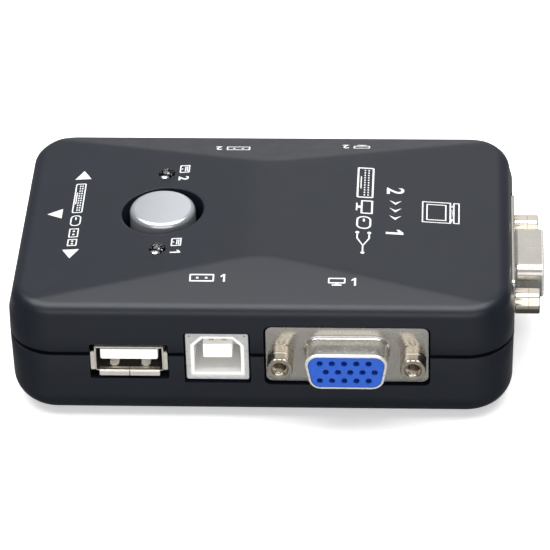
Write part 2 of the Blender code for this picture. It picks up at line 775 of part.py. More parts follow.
def d_outline(shrink=0.0):
    """The D of the video socket: wide side up, slanted sides, rounded corners."""
    half = D_WIDTH / 2
    tall = D_HEIGHT / 2
    narrow = half - D_HEIGHT * math.tan(D_SLANT)
    ease = shrink / math.cos(D_SLANT)
    low = narrow - ease + shrink * math.tan(D_SLANT)
    high = half - ease - shrink * math.tan(D_SLANT)
    top, bottom = tall - shrink, shrink - tall
    corners = ((-low, bottom), (low, bottom), (high, top), (-high, top))
    return rounded(corners, (D_CORNER - shrink,) * 4)


def vga_shell(back, front):
    nickel = material("vga_shell", (0.62, 0.58, 0.5), 0.25, 1.0)
    flange = prism(rectangle(FLANGE_WIDTH, FLANGE_HEIGHT, FLANGE_RADIUS), back, -FLANGE_RECESS)
    shell = place("vga_shell_pattern", flange, nickel)
    collar = prism(d_outline(), back + FLANGE_THICKNESS / 2, front)
    round_edges(collar, 1, D_RIM / 2, 1)
    join(shell, "d_collar", collar)
    cut(shell, "d_inside", prism(d_outline(D_WALL), back - 1 * MM, front + 1 * MM))
    holes = [
        rod(hand * JACK_SPREAD, 0.0, back - 1 * MM, 0.0, JACK_HOLE_RADIUS, 12) for hand in (-1, 1)
    ]
    cut(shell, "jack_holes", merged(*holes))
    return settle(shell)


def vga_insulator(back, front, board):
    """The blue nose with its fifteen contact holes, on the body behind the flange."""
    blue = material("vga_insulator", (0.01, 0.13, 0.75), 0.4)
    nose = prism(d_outline(D_WALL + GAP / 2), back - 1 * MM, front - 0.1 * MM)
    insulator = place("vga_insulator_pattern", nose, blue)
    half = VIDEO_BODY_WIDTH / 2
    body = block((-half, board, VIDEO_BODY_BACK), (half, VIDEO_BODY_TOP, back - GAP))
    join(insulator, "insulator_body", body)
    holes = []
    for row in (-1, 0, 1):
        shift = -CONTACT_SHIFT / 3 if row else 2 * CONTACT_SHIFT / 3
        for column in range(-2, 3):
            x = column * CONTACT_PITCH + shift
            y = row * CONTACT_ROW
            holes.append(rod(x, y, front - CONTACT_DEPTH, front + 1 * MM, CONTACT_RADIUS, 6))
    cut(insulator, "contact_holes", merged(*holes))
    return settle(insulator)


def vga_bracket(back, board):
    """An angle that the jack screw clamps behind the flange, with its foot on the board."""
    half = BRACKET_WIDTH / 2
    steel = material("vga_bracket", (0.5, 0.5, 0.5), 0.35, 1.0)
    plate = block((-half, board, back - GAP - BRACKET_SHEET), (half, VIDEO_BODY_TOP, back - GAP))
    bracket = place("vga_bracket_pattern", plate, steel)
    low = (-half, board, -8.5 * MM)
    high = (half, board + BRACKET_SHEET, back - GAP - BRACKET_SHEET / 2)
    join(bracket, "bracket_foot", block(low, high))
    hole = rod(0.0, 0.0, back - 3 * MM, 0.0, JACK_HOLE_RADIUS, 12)
    cut(bracket, "bracket_hole", hole)
    return settle(bracket)


def jack_screw(back):
    nickel = material("jack_screw", (0.6, 0.57, 0.5), 0.3, 1.0)
    foot, head = -FLANGE_RECESS + GAP, -FLANGE_RECESS + JACK_LENGTH
    jack = place("jack_screw_pattern", rod(0.0, 0.0, foot, head, JACK_RADIUS, 6), nickel)
    thread = rod(0.0, 0.0, back - JACK_TAIL, 0.0, JACK_BORE_RADIUS, 12)
    join(jack, "jack_thread", thread)
    bore = rod(0.0, 0.0, JACK_BORE_FLOOR, head + 1 * MM, JACK_BORE_RADIUS, 12)
    cut(jack, "jack_bore", bore)
    return settle(jack)


def add_legs(shell, kind, height, low):
    """Two tails that go down through the board and hold the socket."""
    for hand in (-1, 1):
        x = hand * LEG_DISTANCE[kind]
        leg = block(
            (x - LEG_THICKNESS / 2, LEG_FOOT - height, LEG_DEPTH[kind] - LEG_WIDTH / 2),
            (x + LEG_THICKNESS / 2, low + 2 * MM, LEG_DEPTH[kind] + LEG_WIDTH / 2),
        )
        join(shell, f"{kind}_leg_{hand}", leg)


def usb_a_meshes():
    width, height = A_INNER_WIDTH, A_INNER_HEIGHT
    front, back = A_FRONT, A_FRONT - A_LENGTH
    nickel = material("usb_a_shell", (0.6, 0.57, 0.5), 0.25, 1.0)
    outer = rectangle(width + 2 * SHEET, height + 2 * SHEET, 0.6 * MM, steps=2)
    shell = place("usb_a_shell_pattern", prism(outer, back, front), nickel)
    lip = rectangle(
        A_LIP_WIDTH, height + 2 * SHEET + A_LIP_DROP, 0.8 * MM, (0.0, -A_LIP_DROP / 2), 2
    )
    join(shell, "usb_a_lip", prism(lip, front - SHEET - 0.1 * MM, front))
    add_legs(shell, "usb_a", USB_A_HEIGHT, -height / 2)
    inner = rectangle(width, height, 0.3 * MM, steps=1)
    cut(shell, "usb_a_inside", prism(inner, back - 1 * MM, front + 1 * MM))

    white = material("usb_a_insulator", (0.8, 0.8, 0.78), 0.4)
    body = rectangle(width - GAP, height - GAP, GAP / 2, steps=1)
    insulator = place("usb_a_insulator_pattern", prism(body, back, back + 4.4 * MM), white)
    tongue = rectangle(A_TONGUE_WIDTH, A_TONGUE_HEIGHT, 0.0, (0.0, A_TONGUE_RISE))
    join(insulator, "usb_a_tongue", prism(tongue, back + 4 * MM, front - 0.4 * MM))
    return settle(shell), settle(insulator)


def chamfered_opening(grow=0.0):
    """The opening of the square socket, with its two upper corners cut off."""
    w, h = B_OPENING_WIDTH / 2 + grow, B_OPENING_HEIGHT / 2 + grow
    upper = [(w, h - B_CHAMFER), (w - B_CHAMFER, h), (B_CHAMFER - w, h), (-w, h - B_CHAMFER)]
    return [(-w, -h), (w, -h), *upper]


def usb_b_meshes():
    width, height = B_OUTER_WIDTH, B_OUTER_HEIGHT
    front, back = B_FRONT, B_FRONT - B_LENGTH
    nickel = material("usb_b_shell", (0.66, 0.66, 0.65), 0.3, 1.0)
    outer = rectangle(width, height, 0.5 * MM, steps=2)
    shell = place("usb_b_shell_pattern", prism(outer, back, front), nickel)
    add_legs(shell, "usb_b", USB_B_HEIGHT, -height / 2)
    inner = rectangle(width - 2 * SHEET, height - 2 * SHEET, 0.25 * MM, steps=1)
    cut(shell, "usb_b_inside", prism(inner, back - 1 * MM, front - SHEET))
    cut(shell, "usb_b_opening", prism(chamfered_opening(), front - 2 * MM, front + 1 * MM))

    white = material("usb_b_insulator", (0.8, 0.8, 0.79), 0.4)
    body = rectangle(width - 2 * SHEET - GAP, height - 2 * SHEET - GAP)
    insulator = place("usb_b_insulator_pattern", prism(body, back, front - 2 * SHEET), white)
    cavity = prism(chamfered_opening(0.1 * MM), front - B_CAVITY_DEPTH, front + 1 * MM)
    cut(insulator, "usb_b_cavity", cavity)
    tongue = rectangle(B_TONGUE_WIDTH, B_TONGUE_HEIGHT, 0.3 * MM, (0.0, B_TONGUE_RISE), 1)
    join(insulator, "usb_b_tongue", prism(tongue, front - 10 * MM, front - 1 * MM))
    return settle(shell), settle(insulator)


def sockets():
    back, front = -FLANGE_RECESS - FLANGE_THICKNESS, -FLANGE_RECESS + D_LENGTH
    board = BOARD_TOP + GAP - VGA_HEIGHT
    shell, insulator = vga_shell(back, front), vga_insulator(back, front, board)
    bracket, jack = vga_bracket(back, board), jack_screw(back)
    usb = {"usb_a": usb_a_meshes(), "usb_b": usb_b_meshes()}
    for name, (kind, side, along, height) in SOCKETS.items():
        matrix = socket_matrix(side, along, height)
        if kind == "vga":
            soften(place(f"{name}_shell", shell, None, matrix))
            place(f"{name}_insulator", insulator, None, matrix)
            for word, hand in (("left", -1), ("right", 1)):
                beside = matrix @ Matrix.Translation((hand * JACK_SPREAD, 0, 0))
                place(f"{name}_bracket_{word}", bracket, None, beside)
                place(f"{name}_jack_screw_{word}", jack, None, beside)
        else:
            usb_shell, usb_insulator = usb[kind]
            place(f"{name}_shell", usb_shell, None, matrix)
            place(f"{name}_insulator", usb_insulator, None, matrix)


def main():
    soften(top_cover())
    soften(bottom_cover())
    case_screws()
    main_board()
    components()
    button()
    tactile_switch()
    leds()
    sockets()


main()
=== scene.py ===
"""The looks of a KVM switch: a charcoal case with a silver button, two clear lamps, and nickel sockets."""

import math

import bmesh
import bpy
import numpy as np
from mathutils import Matrix, Vector


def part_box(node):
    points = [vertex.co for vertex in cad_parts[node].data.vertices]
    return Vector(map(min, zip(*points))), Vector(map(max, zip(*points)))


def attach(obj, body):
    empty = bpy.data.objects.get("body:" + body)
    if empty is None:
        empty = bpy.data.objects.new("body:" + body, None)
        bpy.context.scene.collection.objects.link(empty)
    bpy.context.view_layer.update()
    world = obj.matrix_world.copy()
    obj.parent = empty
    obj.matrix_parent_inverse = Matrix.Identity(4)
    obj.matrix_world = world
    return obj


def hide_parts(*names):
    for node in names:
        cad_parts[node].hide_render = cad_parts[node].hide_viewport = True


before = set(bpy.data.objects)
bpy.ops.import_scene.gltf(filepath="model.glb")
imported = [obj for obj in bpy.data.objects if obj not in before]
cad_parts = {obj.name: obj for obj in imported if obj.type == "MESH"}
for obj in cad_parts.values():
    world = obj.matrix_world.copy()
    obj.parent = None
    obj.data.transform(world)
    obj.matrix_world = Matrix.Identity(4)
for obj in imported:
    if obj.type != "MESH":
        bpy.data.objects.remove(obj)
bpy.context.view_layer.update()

MM = 0.001

# The case. Its width and depth are the frame's.
HALF_WIDTH, HALF_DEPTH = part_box("top_cover")[1].xy
CORNER_RADIUS = 9.1 * MM
WALL = 2.0 * MM
TOP_FOOT = 15.75 * MM
BOTTOM_RIM = 14.9 * MM
TOP_DRAFT = math.radians(1.0)
BOTTOM_DRAFT = math.radians(1.0)
TOP_FILLET = 2.5 * MM
BOTTOM_FILLET = 5.8 * MM
EDGE_EASE = 0.14 * MM

# The roof: end slopes that meet in a round crest, and a facet along each long side.
EDGE_HEIGHT = 25.5 * MM
ROOF_INSET = 2.8 * MM
END_SLOPE = 0.065
FACET_SLOPE = 0.234
CREST_RADIUS = 80.0 * MM
CREASE = 0.09 * MM

# The lip behind the shadow gap.
LIP_INSET = 1.1 * MM
LIP_TOP = 16.6 * MM
RECESS_INSET = 0.8 * MM
RECESS_TOP = 16.9 * MM

# Inside the case.
SCREW_LOW, SCREW_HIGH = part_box("case_screw_4")
SCREW_SPOT = ((SCREW_LOW + SCREW_HIGH) / 2).xy
POST_SPOT = Vector((34.5 * MM, 12.0 * MM))
LOWER_BOSS_TOP = 9.3 * MM
UPPER_BOSS_FOOT = 9.6 * MM
BOSS_HEAD = 24.8 * MM
BOARD_BOTTOM, BOARD_TOP = (corner.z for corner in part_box("main_board"))
GAP = 0.3 * MM

# The button and the lamps.
CAP_LOW, CAP_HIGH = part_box("button_cap")
CAP_RADIUS = (CAP_HIGH.x - CAP_LOW.x) / 2
CAP_SPOT = (CAP_LOW + CAP_HIGH).xy / 2
WELL_RADIUS = 7.95 * MM
COLLAR_RADIUS = 9.4 * MM
COLLAR_FOOT = 19.5 * MM
COLLAR_TOP = 26.2 * MM
STEM_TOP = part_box("switch_plunger")[1].z
STEM_RADIUS = 1.7 * MM
LED_LOW, LED_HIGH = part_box("status_led_1")
LED_SPOT = (LED_LOW + LED_HIGH).xy / 2
LED_RADIUS = 1.5 * MM
LED_HOLE_RADIUS = 1.58 * MM
LED_HOLE_FOOT = 22.0 * MM
WELL_FLARE = 0.25 * MM
LED_HOLE_FLARE = 0.12 * MM

# The video socket, in its own frame: X to the right, Y up, Z out, from the face of the case.
SHELL_LOW, SHELL_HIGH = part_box("vga_front_shell")
FLANGE_WIDTH = SHELL_HIGH.x - SHELL_LOW.x
FLANGE_HEIGHT = SHELL_HIGH.z - SHELL_LOW.z
FLANGE_FRONT = -0.5 * MM
FLANGE_THICKNESS = 0.8 * MM
FLANGE_RADIUS = 1.3 * MM
JACK_SPREAD = 12.5 * MM
JACK_APOTHEM = 2.3 * MM
JACK_LENGTH = 4.8 * MM
D_WIDTH = 16.33 * MM
D_HEIGHT = 7.9 * MM
D_LENGTH = 5.7 * MM
D_SLANT = math.radians(10.0)
D_CORNER = 2.4 * MM
D_WALL = 0.5 * MM
CONTACT_PITCH = 2.29 * MM
CONTACT_ROW = 1.98 * MM
CONTACT_RADIUS = 0.55 * MM

# The USB sockets, in frames of the same kind.
SHEET = 0.3 * MM
A_WIDTH = 12.5 * MM
A_HEIGHT = 5.12 * MM
A_FRONT = -0.1 * MM
A_LENGTH = 14.0 * MM
A_BEND = 0.25 * MM
A_SIDE_LIP = (4.1 * MM, 1.05 * MM)
A_LOWER_LIP = (5.66 * MM, 1.25 * MM)
A_FINGER_SPREAD = 3.0 * MM
A_FINGER = (1.75 * MM, 6.0 * MM, 0.55 * MM)
A_FINGER_SLOT = (1.95 * MM, 6.3 * MM, 0.8 * MM)
B_WIDTH = 11.9 * MM
B_HEIGHT = 10.6 * MM
B_FRONT = -0.4 * MM
B_LENGTH = 16.0 * MM
B_OPEN_WIDTH = 9.0 * MM
B_OPEN_HEIGHT = 8.0 * MM
B_CHAMFER = 1.7 * MM

# Each opening in a wall: width, height, rise and corner radius.
WINDOWS = {
    "vga": (FLANGE_WIDTH + 0.6 * MM, FLANGE_HEIGHT + 0.9 * MM, -0.15 * MM, 1.2 * MM),
    "usb_a": (15.0 * MM, 7.9 * MM, -0.55 * MM, 0.4 * MM),
    "usb_b": (B_WIDTH + 0.7 * MM, B_HEIGHT + 0.9 * MM, -0.25 * MM, 0.4 * MM),
}
SIDES = {"front": 0, "monitor": 90, "back": 180, "left": 270}
SOCKETS = (("vga", "front"), ("vga", "back"), ("vga", "monitor"), ("usb_a", "front"))
SOCKETS += (("usb_a", "back"), ("usb_a", "left"), ("usb_b", "front"), ("usb_b", "back"))


# Materials.


def node(tree, kind, inputs=None, **settings):
    made = tree.nodes.new(kind)
    for name, value in settings.items():
        setattr(made, name, value)
    for name, value in (inputs or {}).items():
        if isinstance(value, bpy.types.NodeSocket):
            tree.links.new(value, made.inputs[name])
        else:
            made.inputs[name].default_value = value
    return made


def noise(tree, per_mm, detail):
    """Cloudy noise over the object's own coordinates, with about per_mm lumps in a millimetre."""
    place = node(tree, "ShaderNodeTexCoord").outputs["Object"]
    wanted = {"Vector": place, "Scale": per_mm / MM, "Detail": detail, "Roughness": 0.55}
    return node(tree, "ShaderNodeTexNoise", wanted).outputs["Fac"]


def ranged(tree, value, low, high, start=0.3, end=0.7):
    """The value, spread from its usual span to low and high."""
    wanted = {"Value": value, "From Min": start, "From Max": end, "To Min": low, "To Max": high}
    return node(tree, "ShaderNodeMapRange", wanted).outputs["Result"]


def mixed(tree, share, first, second):
    made = node(tree, "ShaderNodeMix", {0: share, 6: first, 7: second}, data_type="RGBA")
    return made.outputs[2]


def shade(colour, factor):
    return (*(channel * factor for channel in colour), 1.0)


def finish(name, colour, roughness, metallic, cloud, polish, grain, specks=None):
    """A Principled surface: cloud is how many tone patches a millimetre and how strong, polish how
    far the roughness wanders, grain how many bumps a millimetre and their height in millimetres,
    and specks the size, share and darkness of small dark pits."""
    made = bpy.data.materials.new(name)
    made.use_nodes = True
    tree = made.node_tree
    shader = tree.nodes["Principled BSDF"]
    tone = ranged(tree, noise(tree, cloud[0], 4.0), 0.0, 1.0)
    colours = mixed(tree, tone, shade(colour, 1 - cloud[1]), shade(colour, 1 + cloud[1]))
    if specks:
        size, share, dark = specks
        pitted = ranged(tree, noise(tree, size, 1.0), 0.0, 1.0, 1 - share - 0.04, 1 - share)
        colours = mixed(tree, pitted, colours, shade(colour, dark))
    worn = ranged(tree, noise(tree, cloud[0] * 6, 3.0), roughness - polish, roughness + polish)
    bump = {"Height": noise(tree, grain[0], 2.0), "Strength": 1.0, "Distance": grain[1] * MM}
    normal = node(tree, "ShaderNodeBump", bump).outputs[0]
    for socket, value in (("Base Color", colours), ("Roughness", worn), ("Normal", normal)):
        tree.links.new(value, shader.inputs[socket])
    shader.inputs["Metallic"].default_value = metallic
    return made


# Each finish's values, in the order that finish takes them.
LOOKS = {
    "case_abs": ((0.0066, 0.0096, 0.0165), 0.36, 0.0, (0.05, 0.08), 0.03, (7.0, 0.006)),
    "silver_paint": ((0.57, 0.59, 0.625), 0.24, 0.7, (0.3, 0.015), 0.02, (6.0, 0.0004)),
    "clear_epoxy": ((0.95, 0.97, 0.98), 0.05, 0.0, (0.4, 0.01), 0.02, (2.0, 0.001)),
    "drawn_nickel": ((0.6, 0.575, 0.53), 0.23, 0.85, (0.2, 0.05), 0.05, (0.8, 0.0004)),
    "turned_nickel": ((0.72, 0.655, 0.56), 0.2, 1.0, (0.6, 0.06), 0.05, (3.0, 0.003)),
    "usb_a_nickel": ((0.88, 0.84, 0.76), 0.36, 0.7, (0.5, 0.06), 0.05, (3.0, 0.003)),
    "usb_b_nickel": ((0.7, 0.7, 0.69), 0.42, 0.5, (0.8, 0.08), 0.06, (4.0, 0.006), (4.5, 0.1, 0.75)),
    "blue_plastic": ((0.0005, 0.085, 0.52), 0.38, 0.0, (0.3, 0.05), 0.05, (6.0, 0.004)),
    "white_nylon": ((0.95, 0.95, 0.94), 0.4, 0.0, (0.3, 0.02), 0.05, (6.0, 0.004)),
    # A dark copy of the USB-A nickel: painted shade for the inside of its shell.
    "painted_shade_nickel": ((0.035, 0.027, 0.02), 0.5, 0.3, (0.5, 0.1), 0.05, (3.0, 0.003)),
    # A pale copy of the nickel: painted light on the USB-A spring fingers.
    "painted_light_nickel": ((0.95, 0.89, 0.78), 0.4, 0.2, (0.5, 0.03), 0.05, (3.0, 0.002)),
    # A pale, glossier copy of the socket nickel: a painted highlight on the collar's front rim.
    "painted_highlight_rim": ((0.9, 0.885, 0.86), 0.3, 0.55, (0.5, 0.03), 0.05, (3.0, 0.0005)),
    "gold_contact": ((0.83, 0.58, 0.24), 0.25, 1.0, (1.0, 0.06), 0.05, (8.0, 0.002)),
    "zinc_steel": ((0.55, 0.56, 0.58), 0.34, 1.0, (0.8, 0.08), 0.08, (5.0, 0.004)),
    "tinned_steel": ((0.62, 0.62, 0.6), 0.36, 1.0, (0.5, 0.08), 0.08, (4.0, 0.004)),
    "spring_steel": ((0.68, 0.68, 0.68), 0.22, 1.0, (1.0, 0.05), 0.05, (6.0, 0.002)),
    "board_laminate": ((0.012, 0.12, 0.045), 0.36, 0.0, (0.6, 0.15), 0.06, (3.0, 0.02), (0.9, 0.2, 0.55)),
    "black_plastic": ((0.014, 0.014, 0.015), 0.5, 0.0, (0.5, 0.1), 0.06, (7.0, 0.008)),
    "capacitor_sleeve": ((0.015, 0.02, 0.09), 0.32, 0.0, (0.4, 0.08), 0.05, (1.0, 0.01)),
    "white_ink": ((0.76, 0.77, 0.78), 0.5, 0.0, (1.5, 0.05), 0.06, (9.0, 0.003)),
    "floor_paper": ((0.9, 0.9, 0.9), 0.9, 0.0, (0.01, 0.004), 0.02, (0.4, 0.01)),
}
FINISHES = {name: finish(name, *values) for name, values in LOOKS.items()}


def set_constant(name, socket, value):
    FINISHES[name].node_tree.nodes["Principled BSDF"].inputs[socket].default_value = value


set_constant("case_abs", "Specular IOR Level", 0.45)
set_constant("clear_epoxy", "Transmission Weight", 1.0)
set_constant("clear_epoxy", "IOR", 1.54)


def placed(name, data):
    """A new object in the scene."""
    made = bpy.data.objects.new(name, data)
    bpy.context.scene.collection.objects.link(made)
    return made


# Meshes.

EASED_ANGLE = math.radians(40)
SHARP_DEGREES = 25
LAMP_SHARP_DEGREES = 32


def as_mesh(shape, name):
    mesh = bpy.data.meshes.new(name)
    shape.to_mesh(mesh)
    shape.free()
    return mesh


def shape_of(mesh):
    shape = bmesh.new()
    shape.from_mesh(mesh)
    return shape


def lofted(rings, closed=False):
    """A skin over rings of points, each ring closed. A ring that is a line or a point needs welding."""
    shape = bmesh.new()
    rows = [[shape.verts.new(point) for point in ring] for ring in rings]
    if closed:
        rows.append(rows[0])
    for low, high in zip(rows, rows[1:]):
        for column in range(len(low)):
            after = (column + 1) % len(low)
            shape.faces.new((low[column], low[after], high[after], high[column]))
    return shape


def welded(shape, distance=1e-6):
    bmesh.ops.remove_doubles(shape, verts=shape.verts, dist=distance)
    bmesh.ops.dissolve_degenerate(shape, edges=shape.edges, dist=distance / 10)
    bmesh.ops.recalc_face_normals(shape, faces=shape.faces)
    return shape


def capped(shape):
    """Closes the open ends of a loft."""
    bmesh.ops.holes_fill(shape, edges=[e for e in shape.edges if e.is_boundary], sides=0)
    bmesh.ops.recalc_face_normals(shape, faces=shape.faces)
    return shape


def merged(*shapes):
    whole = bmesh.new()
    for shape in shapes:
        carrier = as_mesh(shape, "carrier")
        whole.from_mesh(carrier)
        bpy.data.meshes.remove(carrier)
    return whole


def block(low, high):
    shape = bmesh.new()
    bmesh.ops.create_cube(shape, size=1.0)
    low, high = Vector(low), Vector(high)
    bmesh.ops.scale(shape, vec=high - low, verts=shape.verts)
    bmesh.ops.translate(shape, vec=(high + low) / 2, verts=shape.verts)
    return shape


def turned(profile, steps, spot=(0.0, 0.0)):
    """A closed turned body. The profile is (radius, height) pairs from the axis round to the axis."""
    angles = np.linspace(0, 2 * math.pi, steps, endpoint=False)
    rings = [
        [(r * math.cos(a) + spot[0], r * math.sin(a) + spot[1], z) for a in angles] for r, z in profile
    ]
    return welded(lofted(rings), 1e-7)


def ring(angles, radii, height):
    """A ring about Z, with one radius or one for each angle."""
    radii = np.broadcast_to(radii, len(angles))
    heights = np.full(len(angles), height)
    return np.column_stack([radii * np.cos(angles), radii * np.sin(angles), heights])


def rod(spot, low, high, radius, steps=32):
    return turned([(0, low), (radius, low), (radius, high), (0, high)], steps, spot)


def arc(centre, radius, start, end, steps):
    """Points on an arc in a section, with angles in degrees from +X."""
    turn = np.radians(np.linspace(start, end, steps + 1))
    return [(centre[0] + radius * math.cos(a), centre[1] + radius * math.sin(a)) for a in turn]


def rounded(corners, radii, steps=6):
    """The outline through these corners, counter-clockwise, each rounded to its radius."""
    outline = []
    count = len(corners)
    for index, radius in enumerate(radii):
        corner = Vector(corners[index])
        if radius <= 0:
            outline.append(corner)
            continue
        before = (Vector(corners[index - 1]) - corner).normalized()
        after = (Vector(corners[(index + 1) % count]) - corner).normalized()
        half = before.angle(after) / 2
        centre = corner + (before + after).normalized() * radius / math.sin(half)
        start = corner + before * radius / math.tan(half) - centre
        turn = math.pi - 2 * half
        for step in range(steps + 1):
            outline.append(centre + Matrix.Rotation(turn * step / steps, 2) @ start)
    return outline


def rectangle(width, height, radius=0.0, middle=(0.0, 0.0), steps=6):
    x, y = middle
    w, h = width / 2, height / 2
    corners = ((x - w, y - h), (x + w, y - h), (x + w, y + h), (x - w, y + h))
    return rounded(corners, (radius,) * 4, steps)


def solid_of(curve, weld):
    """A curve's solid as a welded shape. The curve is used up."""
    holder = bpy.data.objects.new("solid", curve)
    mesh = bpy.data.meshes.new_from_object(holder)
    shape = shape_of(mesh)
    bpy.data.objects.remove(holder)
    bpy.data.curves.remove(curve)
    bpy.data.meshes.remove(mesh)
    bmesh.ops.remove_doubles(shape, verts=shape.verts, dist=weld)
    return shape


def flat(outlines, low, high, weld=1e-7):
    """Closed outlines, one in another for a hole, made solid between two heights."""
    curve = bpy.data.curves.new("outline", "CURVE")
    curve.dimensions = "2D"
    curve.fill_mode = "BOTH"
    curve.extrude = (high - low) / 2
    for outline in outlines:
        spline = curve.splines.new("POLY")
        spline.points.add(len(outline) - 1)
        for point, (x, y) in zip(spline.points, outline):
            point.co = (x, y, 0.0, 1.0)
        spline.use_cyclic_u = True
    shape = solid_of(curve, weld)
    bmesh.ops.recalc_face_normals(shape, faces=shape.faces)
    bmesh.ops.translate(shape, vec=(0, 0, (low + high) / 2), verts=shape.verts)
    return shape


def bevelled(shape, edges, offset, segments):
    bmesh.ops.bevel(shape, geom=edges, offset=offset, segments=segments, profile=0.5, affect="EDGES")
    return shape


def eased(shape, offset):
    """Rounds every edge that turns by more than EASED_ANGLE."""
    shape.normal_update()
    sharp = [e for e in shape.edges if len(e.link_faces) == 2 and e.calc_face_angle(0) > EASED_ANGLE]
    return bevelled(shape, sharp, offset, 2)


def combined(shape, operation, other):
    """One exact boolean between two meshes, both used up."""
    objects = [placed("work", as_mesh(s, "work")) for s in (shape, other)]
    modifier = objects[0].modifiers.new("boolean", "BOOLEAN")
    modifier.operation = operation
    modifier.object = objects[1]
    modifier.use_self = False
    bpy.context.view_layer.update()
    graph = bpy.context.evaluated_depsgraph_get()
    mesh = bpy.data.meshes.new_from_object(objects[0].evaluated_get(graph))
    result = shape_of(mesh)
    used = [mesh] + [holder.data for holder in objects]
    for holder in objects:
        bpy.data.objects.remove(holder)
    for old in used:
        bpy.data.meshes.remove(old)
    return result


def cut(shape, other):
    return combined(shape, "DIFFERENCE", other)


def join(shape, other):
    return combined(shape, "UNION", other)


def moved(shape, matrix):
    shape.transform(matrix)
    return shape


def dressed(shape, name, finishes, sharp=SHARP_DEGREES):
    """The shape as a mesh with its finishes, shaded smooth where it turns by less than sharp."""
    mesh = as_mesh(shape, name)
    for key in finishes:
        mesh.materials.append(FINISHES[key])
    mesh.shade_smooth()
    mesh.set_sharp_from_angle(angle=math.radians(sharp))
    return mesh


def shown(name, mesh, body="case", nodes=(), matrix=None):
    """A finished piece of the object, riding on its body."""
    piece = placed(name, mesh)
    if matrix is not None:
        piece.matrix_world = matrix
    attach(piece, body)
    if nodes:
        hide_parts(*nodes)


# The case.


def plan(inset):
    """The case's outline drawn in by inset: points, and the way inwards at each."""
    half = np.array([HALF_WIDTH, HALF_DEPTH]) - inset
    radius = max(CORNER_RADIUS - inset, 0.0)
    straight = half - radius
    along_x, along_y, round_the_corner = 150, 84, 20
    signs = ((1, 1), (-1, 1), (-1, -1), (1, -1))
    points, inwards = [], []
    for quarter in range(4):
        turn = quarter * math.pi / 2
        centre = straight * signs[quarter]
        for step in range(round_the_corner + 1):
            angle = turn + step / round_the_corner * math.pi / 2
            out = np.array([math.cos(angle), math.sin(angle)])
            points.append(centre + radius * out)
            inwards.append(-out)
        following = straight * signs[(quarter + 1) % 4]
        count = along_x if quarter % 2 == 0 else along_y
        out = np.array([math.cos(turn + math.pi / 2), math.sin(turn + math.pi / 2)])
        for step in range(1, count):
            share = step / count
            points.append(centre * (1 - share) + following * share + radius * out)
            inwards.append(-out)
    return np.array(points), np.array(inwards)


def roof(x, y, drop=0.0):
    """The height of the roof over a point of the plan."""
    reach = HALF_WIDTH - ROOF_INSET
    lean = math.atan(END_SLOPE)
    crest = EDGE_HEIGHT + reach * END_SLOPE
    axis = crest - CREST_RADIUS / math.cos(lean)
    bow = axis + np.sqrt(np.maximum(CREST_RADIUS**2 - np.square(x), 0))
    slope = EDGE_HEIGHT + END_SLOPE * (reach - np.abs(x))
    ends = np.where(np.abs(x) < CREST_RADIUS * math.sin(lean), bow, slope)
    sides = EDGE_HEIGHT + FACET_SLOPE * (HALF_DEPTH - ROOF_INSET - np.abs(y))
    return (ends + sides - np.sqrt((ends - sides) ** 2 + CREASE**2)) / 2 - drop


def at(points, heights):
    return np.column_stack([points, np.broadcast_to(heights, len(points))])


def spine(points):
    """Where the plan shrinks to: a short line along the middle."""
    half = HALF_WIDTH - HALF_DEPTH
    return np.column_stack([np.clip(points[:, 0], -half, half), np.zeros(len(points))])


def wall_and_roof(inset, foot, radius, drop, arc_steps, roof_rings):
    """Rings up a drafted wall, over a fillet of that radius and across the roof to its middle."""
    base, inwards = plan(inset)
    lean = math.tan(TOP_DRAFT)
    step_in, rounds = 0.05 * MM, 4
    reach = np.full(len(base), radius * 1.2)
    for _ in range(rounds):
        spot = base + inwards * reach[:, None]
        ahead = spot + inwards * step_in
        height = roof(*spot.T, drop)
        slope = np.arctan((roof(*ahead.T, drop) - height) / step_in)
        # The fillet's centre lies a radius inside the wall and a radius under the roof.
        a = np.array([math.cos(TOP_DRAFT), -math.sin(TOP_DRAFT)])
        b = np.stack([np.sin(slope), -np.cos(slope)], axis=1)
        wall_side = radius - foot * a[1]
        roof_side = radius + reach * b[:, 0] + height * b[:, 1]
        span = a[0] * b[:, 1] - a[1] * b[:, 0]
        centre_in = (wall_side * b[:, 1] - a[1] * roof_side) / span
        centre_up = (a[0] * roof_side - wall_side * b[:, 0]) / span
        reach = centre_in - radius * b[:, 0]
    rings = []
    wall_top = centre_up + radius * math.sin(TOP_DRAFT)
    for share in (0.0, 0.33, 0.66):
        z = foot + (wall_top - foot) * share
        rings.append(at(base + inwards * ((z - foot) * lean)[:, None], z))
    low, high = math.pi - TOP_DRAFT, math.pi / 2 + slope
    for step in range(arc_steps + 1):
        angle = low + (high - low) * step / arc_steps
        inside = centre_in + radius * np.cos(angle)
        rings.append(at(base + inwards * inside[:, None], centre_up + radius * np.sin(angle)))
    start = base + inwards * reach[:, None]
    middle = spine(start)
    for step in range(1, roof_rings + 1):
        spot = start + (middle - start) * step / roof_rings
        rings.append(at(spot, roof(*spot.T, drop)))
    return rings


def level(inset, height):
    """A ring at one height."""
    return at(plan(inset)[0], height)


def corners_of(spot):
    return [(sx * spot[0], sy * spot[1]) for sx in (-1, 1) for sy in (-1, 1)]


def socket_matrix(kind, side):
    """Stands a socket's own frame in its wall."""
    turn = Matrix.Rotation(math.radians(SIDES[side]), 4, "Z")
    low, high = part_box(f"{kind}_{side}_{'shell' if kind == 'vga' else 'insulator'}")
    spot = (low + high) / 2
    if side in ("front", "back"):
        spot.y = -HALF_DEPTH if side == "front" else HALF_DEPTH
    elif side == "monitor":
        spot.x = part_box("vga_monitor_shell")[1].x - D_LENGTH - FLANGE_FRONT
    else:
        spot.x = -HALF_WIDTH
    return Matrix.Translation(spot) @ turn @ Matrix.Rotation(math.pi / 2, 4, "X")


